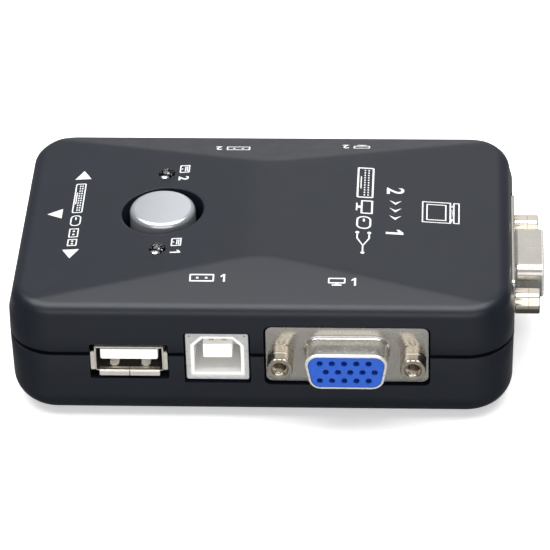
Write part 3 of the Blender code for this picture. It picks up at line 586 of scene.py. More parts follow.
def windows():
    """Cutters for the openings, which hold the sockets."""
    behind, before = -3.6 * MM, 1 * MM
    openings = []
    for kind, side in SOCKETS:
        width, tall, rise, radius = WINDOWS[kind]
        shape = flat([rectangle(width, tall, radius, (0.0, rise), 4)], behind, before)
        openings.append(moved(shape, socket_matrix(kind, side)))
    return merged(*openings)


def lamp_spots():
    return [(LED_SPOT.x, side * abs(LED_SPOT.y)) for side in (-1, 1)]


def flared_well(radius, foot, spot, flare, steps):
    """A cutter for a round opening in the roof: it widens where it meets the surface."""
    top = 34 * MM
    height = float(roof(spot[0], spot[1]))
    lean = -END_SLOPE * math.copysign(1, spot[0])
    profile = [(0, foot - height), (radius, foot - height), (radius, -flare)]
    profile += [
        (radius + flare - flare * math.cos(a), -flare + flare * math.sin(a))
        for a in np.radians((30, 60, 90))
    ]
    profile += [(radius + flare, top - height), (0, top - height)]
    tilt = Matrix.Rotation(-math.atan(lean), 4, "Y")
    return moved(turned(profile, steps), Matrix.Translation((*spot, height)) @ tilt)


def top_cover():
    outer = wall_and_roof(0.0, TOP_FOOT, TOP_FILLET, 0.0, 12, 64)
    foot = [level(EDGE_EASE, TOP_FOOT), level(EDGE_EASE * 0.3, TOP_FOOT + EDGE_EASE * 0.3)]
    outer[0] = level(0.0, TOP_FOOT + EDGE_EASE)
    inner = wall_and_roof(WALL, RECESS_TOP, 0.8 * MM, WALL, 3, 8)
    recess = [level(RECESS_INSET, RECESS_TOP), level(RECESS_INSET, TOP_FOOT)]
    section = inner[::-1] + recess + foot + outer
    cover = welded(lofted(section))
    spots = corners_of(SCREW_SPOT)
    boss, post, pilot, pilot_top = 3.2 * MM, 2.0 * MM, 1.65 * MM, 18 * MM
    bosses = [rod(spot, UPPER_BOSS_FOOT, BOSS_HEAD, boss) for spot in spots]
    posts = [rod(spot, BOARD_TOP + GAP, BOSS_HEAD, post) for spot in corners_of(POST_SPOT)]
    collar = rod(CAP_SPOT, COLLAR_FOOT, COLLAR_TOP, COLLAR_RADIUS, 96)
    cover = join(cover, merged(*bosses, *posts, collar))
    well = flared_well(WELL_RADIUS, COLLAR_FOOT - MM, CAP_SPOT, WELL_FLARE, 96)
    led_hole = (LED_HOLE_RADIUS, LED_HOLE_FOOT)
    holes = [flared_well(*led_hole, spot, LED_HOLE_FLARE, 48) for spot in lamp_spots()]
    pilots = [rod(spot, UPPER_BOSS_FOOT - MM, pilot_top, pilot) for spot in spots]
    cover = cut(cover, merged(well, *holes, *pilots))
    mesh = dressed(cut(cover, windows()), "case_top", ["case_abs"])
    shown("case_top", mesh, nodes=["top_cover"])


def bottom_cover():
    lean = math.tan(BOTTOM_DRAFT)
    outer = [level(LIP_INSET, BOTTOM_RIM), level(EDGE_EASE, BOTTOM_RIM)]
    outer.append(level(EDGE_EASE * 0.3, BOTTOM_RIM - EDGE_EASE * 0.3))
    outer.append(level(0.0, BOTTOM_RIM - EDGE_EASE))
    base = (BOTTOM_RIM - BOTTOM_FILLET) * lean
    outer += [level((BOTTOM_RIM - z) * lean, z) for z in (0.75 * BOTTOM_RIM, BOTTOM_FILLET)]
    for inset, z in arc((BOTTOM_FILLET, BOTTOM_FILLET), BOTTOM_FILLET, 180, 270, 16)[1:]:
        outer.append(level(base + inset, z))
    points = outer[-1][:, :2]
    outer.append(at(spine(points), 0.0))
    inner_fillet = BOTTOM_FILLET - WALL
    floor_ring = level(WALL + base + inner_fillet, WALL)
    inner = [at(spine(floor_ring[:, :2]), WALL), floor_ring]
    for inset, z in arc((inner_fillet, inner_fillet), inner_fillet, 270, 180, 6)[1:]:
        inner.append(level(WALL + base + inset, WALL + z))
    inner += [level(WALL, BOTTOM_RIM), level(WALL, LIP_TOP), level(LIP_INSET, LIP_TOP)]
    cover = welded(lofted(inner + outer))
    boss, post, peg = 4.3 * MM, 2.5 * MM, 1.0 * MM
    bosses = [rod(spot, WALL / 2, LOWER_BOSS_TOP, boss) for spot in corners_of(SCREW_SPOT)]
    foot, seat, top = WALL / 2, BOARD_BOTTOM - GAP, BOARD_TOP - GAP
    profile = [(0, foot), (post, foot), (post, seat), (peg, seat), (peg, top), (0, top)]
    posts = [turned(profile, 32, spot) for spot in corners_of(POST_SPOT)]
    cover = join(cover, merged(*bosses, *posts))
    sunk, bore, ease, seat, top = 3.1 * MM, 1.65 * MM, 0.2 * MM, 4 * MM, 11 * MM
    profile = [(0, -MM), (sunk + ease, -MM), (sunk + ease, 0), (sunk, ease)]
    profile += [(sunk, seat), (bore, seat), (bore, top), (0, top)]
    holes = [turned(profile, 64, spot) for spot in corners_of(SCREW_SPOT)]
    cover = cut(cover, merged(*holes))
    mesh = dressed(cut(cover, windows()), "case_bottom", ["case_abs"])
    shown("case_bottom", mesh, nodes=["bottom_cover"])


# The button and the lamps.


def button_cap():
    edge, dome, shell, floor = 1.1 * MM, 0.15 * MM, 1.2 * MM, 1.8 * MM
    top, foot = CAP_HIGH.z, CAP_LOW.z
    bore, boss = STEM_RADIUS + GAP, STEM_RADIUS + GAP + MM
    flat_radius = CAP_RADIUS - edge
    profile = [
        *((flat_radius * share, top - dome * share**2) for share in np.linspace(0, 1, 9)[:-1]),
        *arc((flat_radius, top - dome - edge), edge, 90, 0, 12),
        (CAP_RADIUS, foot + 0.2 * MM),
        (CAP_RADIUS - 0.2 * MM, foot),
        (CAP_RADIUS - shell, foot),
        (CAP_RADIUS - shell, top - floor),
        (boss, top - floor),
        (boss, foot + MM),
        (bore, foot + MM),
        (bore, STEM_TOP + GAP),
        (0.0, STEM_TOP + GAP),
    ]
    mesh = dressed(turned(profile, 128, CAP_SPOT), "button_face", ["silver_paint"])
    shown("button_face", mesh, "button", ["button_cap"])


def lamps():
    """Clear lamps with the cup and the post of the lead frame inside."""
    top, foot, ridge = LED_HIGH.z, 22.9 * MM, 0.4 * MM
    profile = [
        *arc((0.0, top - LED_RADIUS), LED_RADIUS, 90, 0, 14),
        (LED_RADIUS, foot + 2 * ridge),
        (LED_RADIUS + ridge, foot + 2 * ridge),
        (LED_RADIUS + ridge, foot),
        (0.0, foot),
    ]
    lens = dressed(turned(profile, 48), "lens", ["clear_epoxy"], LAMP_SHARP_DEGREES)
    cup_foot, cup_top, cup_spot = 25.3 * MM, 26.3 * MM, (-0.38 * MM, 0.0)
    profile = [(0, cup_foot), (0.75 * MM, cup_foot - 0.1 * MM), (0.62 * MM, cup_top)]
    profile += [(0.45 * MM, cup_top), (0, cup_top - 0.4 * MM)]
    cup = turned(profile, 24, cup_spot)
    post = block((0.55 * MM, -0.3 * MM, 25.2 * MM), (0.95 * MM, 0.3 * MM, 26.5 * MM))
    half, lead_x, lead_top = 0.25 * MM, 1.27 * MM, foot - 0.02 * MM
    leads = [
        eased(block((x - half, -half, LED_LOW.z), (x + half, half, lead_top)), 0.06 * MM)
        for x in (-lead_x, lead_x)
    ]
    steel = (["spring_steel"], LAMP_SHARP_DEGREES)
    metal = dressed(merged(cup, eased(post, 0.05 * MM)), "lead_frame", *steel)
    wires = dressed(merged(*leads), "leads", *steel)
    for number, spot in enumerate(lamp_spots(), 1):
        place = Matrix.Translation((*spot, 0))
        node_name = f"status_led_{number}"
        shown(f"lamp_{number}_lens", lens, nodes=[node_name], matrix=place)
        shown(f"lamp_{number}_frame", metal, matrix=place)
        shown(f"lamp_{number}_leads", wires, matrix=place)


# Screws.


def case_screws():
    foot, head, tip = SCREW_LOW.z, SCREW_LOW.z + 2 * MM, SCREW_HIGH.z
    wide, corner, thread, core, pitch = 2.6 * MM, 0.6 * MM, 1.35 * MM, 1.05 * MM, 0.6 * MM
    angles = np.linspace(0, 2 * math.pi, 64, endpoint=False)
    rings = [ring(angles, 0, foot)]
    for radius, z in arc((wide - corner, corner), corner, -90, 0, 6):
        rings.append(ring(angles, radius, foot + z))
    rings += [ring(angles, wide, head), ring(angles, thread, head)]
    for z in np.arange(head + 0.1 * MM, tip - 0.8 * MM, pitch / 8):
        wave = np.abs(np.mod(z / pitch - angles / (2 * math.pi), 1) * 2 - 1)
        rings.append(ring(angles, core + (thread - core) * np.maximum(0.0, wave * 2.2 - 1.2), z))
    rings += [ring(angles, core, tip - 0.6 * MM), ring(angles, 0, tip)]
    screw = welded(lofted(rings), 1e-7)
    wing, slit, deep = 3.0 * MM, 0.64 * MM, 1.05 * MM
    for width, height in ((wing, slit), (slit, wing)):
        recess = flat([rectangle(width, height, 0.1 * MM, steps=2)], foot - MM, foot + deep)
        screw = cut(screw, recess)
    mesh = dressed(screw, "screw", ["zinc_steel"])
    for index, spot in enumerate(corners_of(SCREW_SPOT), 1):
        place = Matrix.Translation((*spot, 0))
        shown(f"screw_{index}", mesh, "case", [f"case_screw_{index}"], place)


# The video socket.


def d_outline(shrink):
    """The D of the video socket: wide side up, slanted sides, rounded corners."""
    half, tall = D_WIDTH / 2, D_HEIGHT / 2
    narrow = half - D_HEIGHT * math.tan(D_SLANT)
    ease = shrink / math.cos(D_SLANT)
    low = narrow - ease + shrink * math.tan(D_SLANT)
    high = half - ease - shrink * math.tan(D_SLANT)
    corners = ((-low, shrink - tall), (low, shrink - tall), (high, tall - shrink), (-high, tall - shrink))
    return rounded(corners, (D_CORNER - shrink,) * 4, 8)


def d_ring(shrink, height):
    return [(x, y, height) for x, y in d_outline(shrink)]


def vga_shell():
    back, front = FLANGE_FRONT - FLANGE_THICKNESS, FLANGE_FRONT + D_LENGTH
    plate = flat([rectangle(FLANGE_WIDTH, FLANGE_HEIGHT, FLANGE_RADIUS)], back, FLANGE_FRONT)
    plate = eased(plate, 0.16 * MM)
    root, rim, lip = 0.75 * MM, 0.42 * MM, 0.07 * MM
    foot = back - 0.5 * MM
    section = [(root, FLANGE_FRONT - 0.3 * MM)]
    section += arc((root, FLANGE_FRONT + root), root, 270, 180, 8)
    section += arc((-rim, front - rim), rim, 0, 90, 8)
    section += arc((lip - D_WALL, front - lip), lip, 90, 180, 3)
    section += [(-D_WALL, foot), (root, foot)]
    collar = welded(lofted([d_ring(-x, z) for x, z in section], closed=True), 1e-7)
    hollow = flat([d_outline(D_WALL)], back - MM, front + MM)
    shell = join(cut(plate, hollow), collar)
    # What the collar has behind the flange is trimmed off.
    beyond = Vector((20 * MM, 10 * MM, 0))
    behind = block(Vector((0, 0, back - 2 * MM)) - beyond, Vector((0, 0, back)) + beyond)
    jack_hole = 1.6 * MM
    holes = merged(*[rod((hand * JACK_SPREAD, 0.0), back - MM, 0.0, jack_hole) for hand in (-1, 1)])
    shell = welded(cut(cut(shell, behind), holes), 2e-6)
    # Faces round the collar's front rim take the pale copy of the nickel: a painted highlight.
    for face in shell.faces:
        face.material_index = int(face.calc_center_median().z > front - rim)
    return shell


def contact_spots():
    for row in (-1, 0, 1):
        shift = -0.38 * MM if row else 0.76 * MM
        for column in range(-2, 3):
            yield column * CONTACT_PITCH + shift, row * CONTACT_ROW


def vga_insulator():
    back, front = FLANGE_FRONT - FLANGE_THICKNESS, FLANGE_FRONT + D_LENGTH
    side, face, chamfer = D_WALL + 0.03 * MM, front - 0.1 * MM, 0.12 * MM
    profile = [(side, back - MM), (side, face - chamfer), (side + chamfer / 2, face)]
    nose = capped(lofted([d_ring(s, z) for s, z in profile]))
    board = BOARD_TOP + GAP - (SHELL_LOW.z + FLANGE_HEIGHT / 2)
    half, top, deep = 10.4 * MM, 5.2 * MM, -10.0 * MM
    body = eased(block((-half, board, deep), (half, top, back - GAP)), 0.2 * MM)
    insulator = join(nose, body)
    # A funnel leads each contact of the plug in.
    foot, ease, wide = front - 4.5 * MM, 0.1 * MM, CONTACT_RADIUS + 0.12 * MM
    profile = [(0, foot), (CONTACT_RADIUS, foot), (CONTACT_RADIUS, face - ease)]
    profile += [(wide, face + ease / 5), (wide, front + MM), (0, front + MM)]
    return cut(insulator, merged(*[turned(profile, 20, spot) for spot in contact_spots()]))


def vga_contacts():
    top, deep = FLANGE_FRONT + D_LENGTH - 1.3 * MM, FLANGE_FRONT + D_LENGTH - 4.4 * MM
    outer, inner = 0.42 * MM, 0.3 * MM
    floor = deep + 0.5 * MM
    profile = [(0, deep), (outer, deep), (outer, top), (inner, top), (inner, floor), (0, floor)]
    return merged(*[turned(profile, 14, spot) for spot in contact_spots()])


def jack_screw():
    """A hexagonal standoff with a chamfered nose, a waist groove and a threaded bore."""
    foot, front = FLANGE_FRONT + 0.02 * MM, FLANGE_FRONT + JACK_LENGTH
    angles = np.linspace(0, 2 * math.pi, 96, endpoint=False)
    sector = np.mod(angles, math.pi / 3) - math.pi / 6
    round_limit = JACK_APOTHEM * 1.07
    hexagon = np.minimum(JACK_APOTHEM / np.cos(sector), round_limit)
    bore, depth, pitch, groove, sink = 1.42 * MM, 3.9 * MM, 0.5 * MM, 0.22 * MM, 0.28 * MM
    tail, tail_foot = 1.28 * MM, foot - 3.3 * MM
    waist, nick, nose = foot + 0.55 * JACK_LENGTH, 0.06 * MM, 0.3 * MM
    section = [
        (0, tail_foot),
        (tail, tail_foot),
        (tail, foot),
        (np.minimum(hexagon, JACK_APOTHEM), foot),
        (hexagon, foot + 0.2 * MM),
        (hexagon, waist - nick),
        (hexagon - nick, waist - nick / 3),
        (hexagon - nick, waist + nick / 3),
        (hexagon, waist + nick),
        (hexagon, front - nose),
    ]
    for share in (0.35, 0.7, 1.0):
        limit = round_limit - nose * (1 - math.sqrt(1 - (share * 0.95) ** 2))
        section.append((np.minimum(hexagon, limit), front - nose * (1 - share)))
    section += [(bore + sink, front), (bore, front - sink)]
    for z in np.arange(front - sink - 0.05 * MM, front - depth, -pitch / 8):
        wave = np.abs(np.mod(z / pitch - angles / (2 * math.pi), 1) * 2 - 1)
        section.append((bore - groove * (1 - wave), z))
    section += [(bore - groove, front - depth - 0.1 * MM), (0, front - depth - 0.6 * MM)]
    return welded(lofted([ring(angles, radii, z) for radii, z in section]), 1e-7)


# The USB sockets.


def strip(x, width, y0, y1, z0, z1, ease):
    """A flat bar, this wide about x."""
    return eased(block((x - width / 2, y0, z0), (x + width / 2, y1, z1)), ease)


def bent_lip(width, reach):
    """A sheet edge that rolls outwards: X along the edge, Y the way it rolls, Z to the front."""
    outer, foot, corner = A_BEND + SHEET, -1.2 * MM, 0.22 * MM
    outline = [(0.0, foot), *arc((outer, -outer), outer, 180, 90, 8), (reach, 0.0)]
    outline += [(reach, -SHEET), *arc((outer, -outer), A_BEND, 90, 180, 8), (SHEET, foot)]
    shape = lofted([[(x, y, z) for y, z in outline] for x in (-width / 2, width / 2)])
    shape.faces.new(shape.verts[: len(outline)][::-1])
    shape.faces.new(shape.verts[len(outline) :])
    bmesh.ops.recalc_face_normals(shape, faces=shape.faces)

    def at_a_tip(edge):
        one, two = (vert.co for vert in edge.verts)
        return abs(one.x - two.x) < 1e-7 and min(one.y, two.y) > reach - 1e-7

    return bevelled(shape, [edge for edge in shape.edges if at_a_tip(edge)], corner, 4)


def usb_a_shell():
    front, back = A_FRONT, A_FRONT - A_LENGTH
    w, h = A_WIDTH / 2, A_HEIGHT / 2
    outer = rectangle(A_WIDTH + 2 * SHEET, A_HEIGHT + 2 * SHEET, 0.6 * MM)
    inner = rectangle(A_WIDTH, A_HEIGHT, 0.35 * MM)
    tube = eased(flat([outer, inner], back, front - A_BEND), 0.06 * MM)
    finger_places = (-A_FINGER_SPREAD, A_FINGER_SPREAD)
    fingers = [rectangle(*A_FINGER_SLOT, (x, -4.1 * MM)) for x in finger_places]
    lying = Matrix.Translation((0, -h, 0)) @ Matrix.Rotation(math.pi / 2, 4, "X")
    tube = welded(cut(tube, moved(flat(fingers, -2 * MM, 2 * MM), lying)), 2e-6)
    # Faces inside the tube take the dark copy of the nickel: painted shade.
    for face in tube.faces:
        middle = face.calc_center_median()
        face.material_index = int(abs(middle.x) < w + SHEET / 10 and abs(middle.y) < h + SHEET / 10)
    pieces = [tube]
    for hand in (-1, 1):
        lip = bent_lip(*A_SIDE_LIP)
        turn = Matrix.Rotation(-hand * math.pi / 2, 4, "Z")
        pieces.append(moved(lip, Matrix.Translation((hand * w, -0.35 * MM, front)) @ turn))
    for hand in (-1, 1):
        lip = bent_lip(*A_LOWER_LIP)
        turn = Matrix.Rotation(math.pi, 4, "Z")
        pieces.append(moved(lip, Matrix.Translation((hand * 2.9 * MM, -h, front)) @ turn))
    for x in finger_places:
        finger = finger_spring(*A_FINGER)
        # The fingers take the pale copy of the nickel: painted light.
        for face in finger.faces:
            face.material_index = 2
        place = Matrix.Translation((x, -h - SHEET / 2, front - 1.3 * MM))
        pieces.append(moved(finger, place))
    inset = 0.4 * MM
    top = strip(0, 2 * (w + SHEET - inset), h, h + SHEET, front - inset, front, 0.05 * MM)
    return merged(*pieces, top)


def finger_spring(width, length, rise):
    """A spring finger that bows into the socket. X across, Y into the socket, Z to its free end."""
    outline = rounded(
        [(-width / 2, -length), (width / 2, -length), (width / 2, 0.0), (-width / 2, 0.0)],
        (0.0, 0.0, width * 0.45, width * 0.45),
        8,
    )
    shape = flat([outline], -SHEET / 3, SHEET / 3)
    cuts = 10
    for step in range(1, cuts):
        bmesh.ops.bisect_plane(
            shape,
            geom=[*shape.verts, *shape.edges, *shape.faces],
            plane_co=(0, -length * step / cuts, 0),
            plane_no=(0, 1, 0),
        )
    for vert in shape.verts:
        share = -vert.co.y / length
        lift = rise * math.sin(math.pi * min(1.0, share * 0.8 + 0.2)) if share < 1 else 0.0
        vert.co = Vector((vert.co.x, lift + vert.co.z, vert.co.y))
    bmesh.ops.recalc_face_normals(shape, faces=shape.faces)
    return shape


def usb_a_insulator():
    back = A_FRONT - A_LENGTH
    room = 0.15 * MM
    body = flat([rectangle(A_WIDTH - 2 * room, A_HEIGHT - 2 * room, 0.15 * MM)], back, back + 4.4 * MM)
    low, high, half = -0.2 * MM, 2.1 * MM, 5.45 * MM
    corners = [(-half, low), (half, low), (half, high), (-half, high)]
    outline = rounded(corners, (0.4 * MM, 0.4 * MM, room, room))
    tongue = flat([outline], back + 4 * MM, A_FRONT - 0.4 * MM)
    return eased(join(body, tongue), 0.07 * MM)


def usb_a_contacts():
    strips = []
    for x, reach in ((-3.5, 1.1), (-1.0, 1.8), (1.0, 1.8), (3.5, 1.1)):
        low, high = A_FRONT - 8.5 * MM, A_FRONT - reach * MM
        strips.append(strip(x * MM, MM, -0.32 * MM, -0.19 * MM, low, high, 0.04 * MM))
    return merged(*strips)


def b_opening(grow, chamfer=B_CHAMFER):
    w, h = B_OPEN_WIDTH / 2 + grow, B_OPEN_HEIGHT / 2 + grow
    corners = [(-w, -h), (w, -h), (w, h - chamfer), (w - chamfer, h), (chamfer - w, h), (-w, h - chamfer)]
    return rounded(corners, (0.25 * MM,) * 2 + (0.4 * MM,) * 4, 3)


def usb_b_shell():
    front, back = B_FRONT, B_FRONT - B_LENGTH
    w, h = B_WIDTH / 2, B_HEIGHT / 2
    outer = rectangle(B_WIDTH, B_HEIGHT, 0.45 * MM)
    inner = rectangle(B_WIDTH - 2 * SHEET, B_HEIGHT - 2 * SHEET, 0.2 * MM)
    tube = flat([outer, inner], back, front - SHEET * 0.8)
    face = flat([outer, b_opening(0.6 * MM, B_CHAMFER + 0.3 * MM)], front - SHEET, front)
    face = eased(face, 0.09 * MM)
    seams = []
    half, over = Vector((0, 0.09 * MM, 0)), Vector((0.1 * MM, 0, 0))
    for hand in (-1, 1):
        dimple = (hand * (w - 0.75 * MM), h - 0.55 * MM)
        seams.append(rod(dimple, front - MM, front + MM, 0.17 * MM, 16))
        for y, run in ((-2.2 * MM, 0.55 * MM), (1.2 * MM, 0.4 * MM)):
            x0, x1 = sorted((hand * w, hand * (w - run)))
            low, high = Vector((x0, y, front - 0.16 * MM)), Vector((x1, y, front + MM))
            seams.append(block(low - over - half, high + over + half))
    face = cut(face, merged(*seams))
    return merged(tube, face)


def usb_b_insulator():
    front, back = B_FRONT, B_FRONT - B_LENGTH
    room = SHEET + 0.15 * MM
    body = flat([rectangle(B_WIDTH - 2 * room, B_HEIGHT - 2 * room)], back, front - SHEET - 0.05 * MM)
    cavity = flat([b_opening(-0.05 * MM)], front - 9.5 * MM, front + MM)
    insulator = cut(body, cavity)
    tongue = flat([rectangle(5.5 * MM, 3.2 * MM, 0.3 * MM, (0.0, 0.7 * MM))], front - 10 * MM, front - MM)
    return join(insulator, eased(tongue, 0.1 * MM))


def usb_b_contacts():
    strips = []
    for x in (-1.25 * MM, 1.25 * MM):
        for side in (-1, 1):
            y = 0.7 * MM + side * 1.6 * MM
            low, high = sorted((y - side * 0.02 * MM, y + side * 0.12 * MM))
            deep, near = B_FRONT - 8 * MM, B_FRONT - 2 * MM
            strips.append(strip(x, 0.9 * MM, low, high, deep, near, 0.04 * MM))
    return merged(*strips)


# Each kind's tails: how far out, how deep in, and where they start under the middle.
USB_LEGS = {"usb_a": (6.4 * MM, -8 * MM, -2.7 * MM), "usb_b": (5.8 * MM, -9 * MM, -5.2 * MM)}
LEG_FOOT = 6.4 * MM


def usb_legs(kind, height):
    """The tails that go down through the board, for a socket at this height."""
    reach, deep, top = USB_LEGS[kind]
    foot = LEG_FOOT - height
    legs = [strip(x, 0.5 * MM, foot, top, deep - MM, deep + MM, 0.06 * MM) for x in (-reach, reach)]
    return merged(*legs)


# Each piece of a socket: its maker, its finishes and its slot.
SOCKET_PIECES = {
    "vga_shell": (vga_shell, ["drawn_nickel", "painted_highlight_rim"], "shell_nickel"),
    "vga_insulator": (vga_insulator, ["blue_plastic"], "blue_plastic"),
    "vga_contacts": (vga_contacts, ["gold_contact"], None),
    "jack_screw": (jack_screw, ["turned_nickel"], "jack_nickel"),
    "usb_a_shell": (usb_a_shell, ["usb_a_nickel", "painted_shade_nickel", "painted_light_nickel"], "usb_a_nickel"),
    "usb_a_insulator": (usb_a_insulator, ["white_nylon"], "white_plastic"),
    "usb_a_contacts": (usb_a_contacts, ["gold_contact"], None),
    "usb_b_shell": (usb_b_shell, ["usb_b_nickel"], "usb_b_nickel"),
    "usb_b_insulator": (usb_b_insulator, ["white_nylon"], "white_plastic"),
    "usb_b_contacts": (usb_b_contacts, ["gold_contact"], None),
}


def sockets():
    meshes = {}
    for key, (maker, finishes, _) in SOCKET_PIECES.items():
        meshes[key] = dressed(maker(), key, finishes)

    def put(name, key, matrix, nodes=()):
        shown(name, meshes[key], nodes=nodes, matrix=matrix)

    for kind, side in SOCKETS:
        matrix = socket_matrix(kind, side)
        name = f"{kind}_{side}"
        put(f"{name}_metal", f"{kind}_shell", matrix, [f"{name}_shell"])
        put(f"{name}_plastic", f"{kind}_insulator", matrix, [f"{name}_insulator"])
        put(f"{name}_contacts", f"{kind}_contacts", matrix)
        if kind == "vga":
            for word, hand in (("left", -1), ("right", 1)):
                beside = matrix @ Matrix.Translation((hand * JACK_SPREAD, 0, 0))
                put(f"{name}_jack_{word}", "jack_screw", beside, [f"{name}_jack_screw_{word}"])
        else:
            legs = dressed(usb_legs(kind, matrix.translation.z), f"{name}_legs", ["tinned_steel"])
            shown(f"{name}_legs", legs, matrix=matrix)


# Printed marks, in millimetres: u along the line of print and v up it.


MARK_WELD = 1e-4
FIGURE_WEIGHT = 0.07
CAPITAL_SHARE = 0.72
LINE = 0.26


def digit(text, size, u):
    """A printed figure, size high, with its left foot at (u, 0)."""
    if text == "1":
        stroke, flag = 0.2 * size, 0.27 * size
        right = flag + stroke
        outline = [(right, 0), (right, size), (flag + 0.02 * size, size), (0, 0.76 * size)]
        outline += [(0, 0.6 * size), (flag, 0.74 * size), (flag, 0)]
        return flat([[(u + x, y) for x, y in outline]], -0.25, 0.25, MARK_WELD)
    curve = bpy.data.curves.new("figure", "FONT")
    curve.body = text
    curve.size = size / CAPITAL_SHARE
    curve.fill_mode = "BOTH"
    curve.resolution_u = 4
    curve.offset = FIGURE_WEIGHT
    curve.extrude = 0.5
    shape = solid_of(curve, MARK_WELD)
    low = min(vert.co.x for vert in shape.verts)
    bmesh.ops.translate(shape, vec=(u - low, 0, 0), verts=shape.verts)
    return shape


def shifted(loops, u, v=0.0):
    return [[(x + u, y + v) for x, y in loop] for loop in loops]


def bar(u, v, width, height):
    """A filled bar about (u, v)."""
    return rectangle(width, height, 0.0, (u, v))


def loop_frame(width, height, line, radius):
    """The outline of a box, as the outer loop and the inner one."""
    middle = (width / 2, height / 2)
    inner = max(radius - line, 0.0)
    return [
        rectangle(width, height, radius, middle, 4),
        rectangle(width - 2 * line, height - 2 * line, inner, middle, 4),
    ]


def dot(u, v, radius):
    turn = np.radians(np.arange(0, 360, 30))
    return [(u + radius * math.cos(a), v + radius * math.sin(a)) for a in turn]


def keyboard(length, height, line=LINE):
    """A keyboard seen from above: a frame with two rows of keys and a space bar."""
    loops = loop_frame(length, height, line, 0.35)
    keys = max(3, round((length - 1.2) / 0.85))
    step = (length - 2 * line - 0.5) / keys
    for row in (0.68, 0.46):
        for index in range(keys):
            middle = line + 0.25 + (index + 0.5) * step
            loops.append(bar(middle, height * row, step * 0.55, 0.26))
    loops.append(bar(length * 0.5, height * 0.24, length * 0.4, 0.22))
    return loops


def monitor(width, height, line):
    """A screen on its foot."""
    screen, foot = height * 0.72, 0.3
    loops = shifted(loop_frame(width, screen, line, 0.2), 0.0, height - screen)
    neck = height - screen - foot - 0.04
    loops.append(bar(width * 0.5, foot + 0.02 + neck / 2, width * 0.16, neck))
    loops.append(bar(width * 0.5, foot / 2, width * 0.56, foot))
    return loops


def mouse(width, height, line=LINE):
    """A mouse seen from above, with its wheel."""
    loops = loop_frame(width, height, line, height * 0.45)
    left, right = width * 0.12 + line, width * 0.42
    loops.append(bar((left + right) / 2, height * 0.5, right - left, height * 0.14))
    return loops


def computer(width, height):
    """A computer's upright case with its drive slots."""
    loops = loop_frame(width, height, LINE, 0.15)
    for share in (0.74, 0.56):
        loops.append(bar(width / 2, height * share, width - 2 * LINE - 0.44, 0.22))
    loops.append(dot(width / 2, height * 0.24, 0.17))
    return loops


def plug(width, height, line=LINE):
    """The mouth of a flat plug."""
    loops = loop_frame(width, height, line, 0.2)
    return loops + [bar(width * share, height * 0.5, 0.48, 0.4) for share in (0.32, 0.68)]


def arrow(base, height):
    return [(-base / 2, 0), (base / 2, 0), (0, height)]


def branch(length, height):
    """Two lines that run into one, as a switch is drawn."""
    half, radius, start = 0.15, 0.4, 0.9
    top, low, middle = height - 0.35, 0.35, height / 2
    first, last, end = length * 0.3, length * 0.62, length - 0.9
    loops = [dot(radius, top, radius), dot(radius, low, radius), dot(length - radius, middle, radius)]
    fork = [(start, top + half), (start, top - half), (first, top - half), (last - 0.2, middle)]
    fork += [(first, low + half), (start, low + half), (start, low - half), (first + 0.1, low - half)]
    fork += [(last + 0.05, middle - half), (end, middle - half), (end, middle + half)]
    fork += [(last + 0.05, middle + half), (first + 0.1, top + half)]
    return loops + [fork]


# How far the ink stands out of the roof, and how far it reaches into it.
INK_RISE = 0.02 * MM
INK_SINK = 0.015 * MM


def printed(name, spot, turn, loops, digits=()):
    """Marks on the roof, with the line of print starting at spot and turned about Z."""
    shape = merged(flat(loops, -0.5, 0.5, MARK_WELD), *[digit(*figure) for figure in digits])
    turned_mark = Matrix.Rotation(math.radians(turn), 4, "Z") @ Matrix.Scale(MM, 4)
    shape.transform(Matrix.Translation((spot[0] * MM, spot[1] * MM, 0)) @ turned_mark)
    for vert in shape.verts:
        lift = INK_RISE if vert.co.z > 0 else -INK_SINK
        vert.co.z = float(roof(vert.co.x, vert.co.y)) + lift
    bmesh.ops.recalc_face_normals(shape, faces=shape.faces)
    shown(name, dressed(shape, name, ["white_ink"]))


def arrow_row():
    """Three chevron arrows."""
    chevron = [(0.0, 0.5), (1.5, 1.7), (0.0, 2.9), (0.75, 1.7)]
    return [loop for index in range(3) for loop in shifted([chevron], index * 2.6)]


def screen_picture():
    """A screen in double outline on a low base, lying with its base to the right of the case."""
    loops = shifted(loop_frame(7.2, 5.6, LINE, 0.05), 0, 1.7)
    loops += shifted(loop_frame(5.5, 3.9, LINE, 0.05), 0.85, 2.55)
    loops += [bar(u, 1.47, 0.3, 0.5) for u in (1.35, 5.85)]
    return loops + shifted(loop_frame(7.1, 1.25, LINE, 0.05), 0.05)


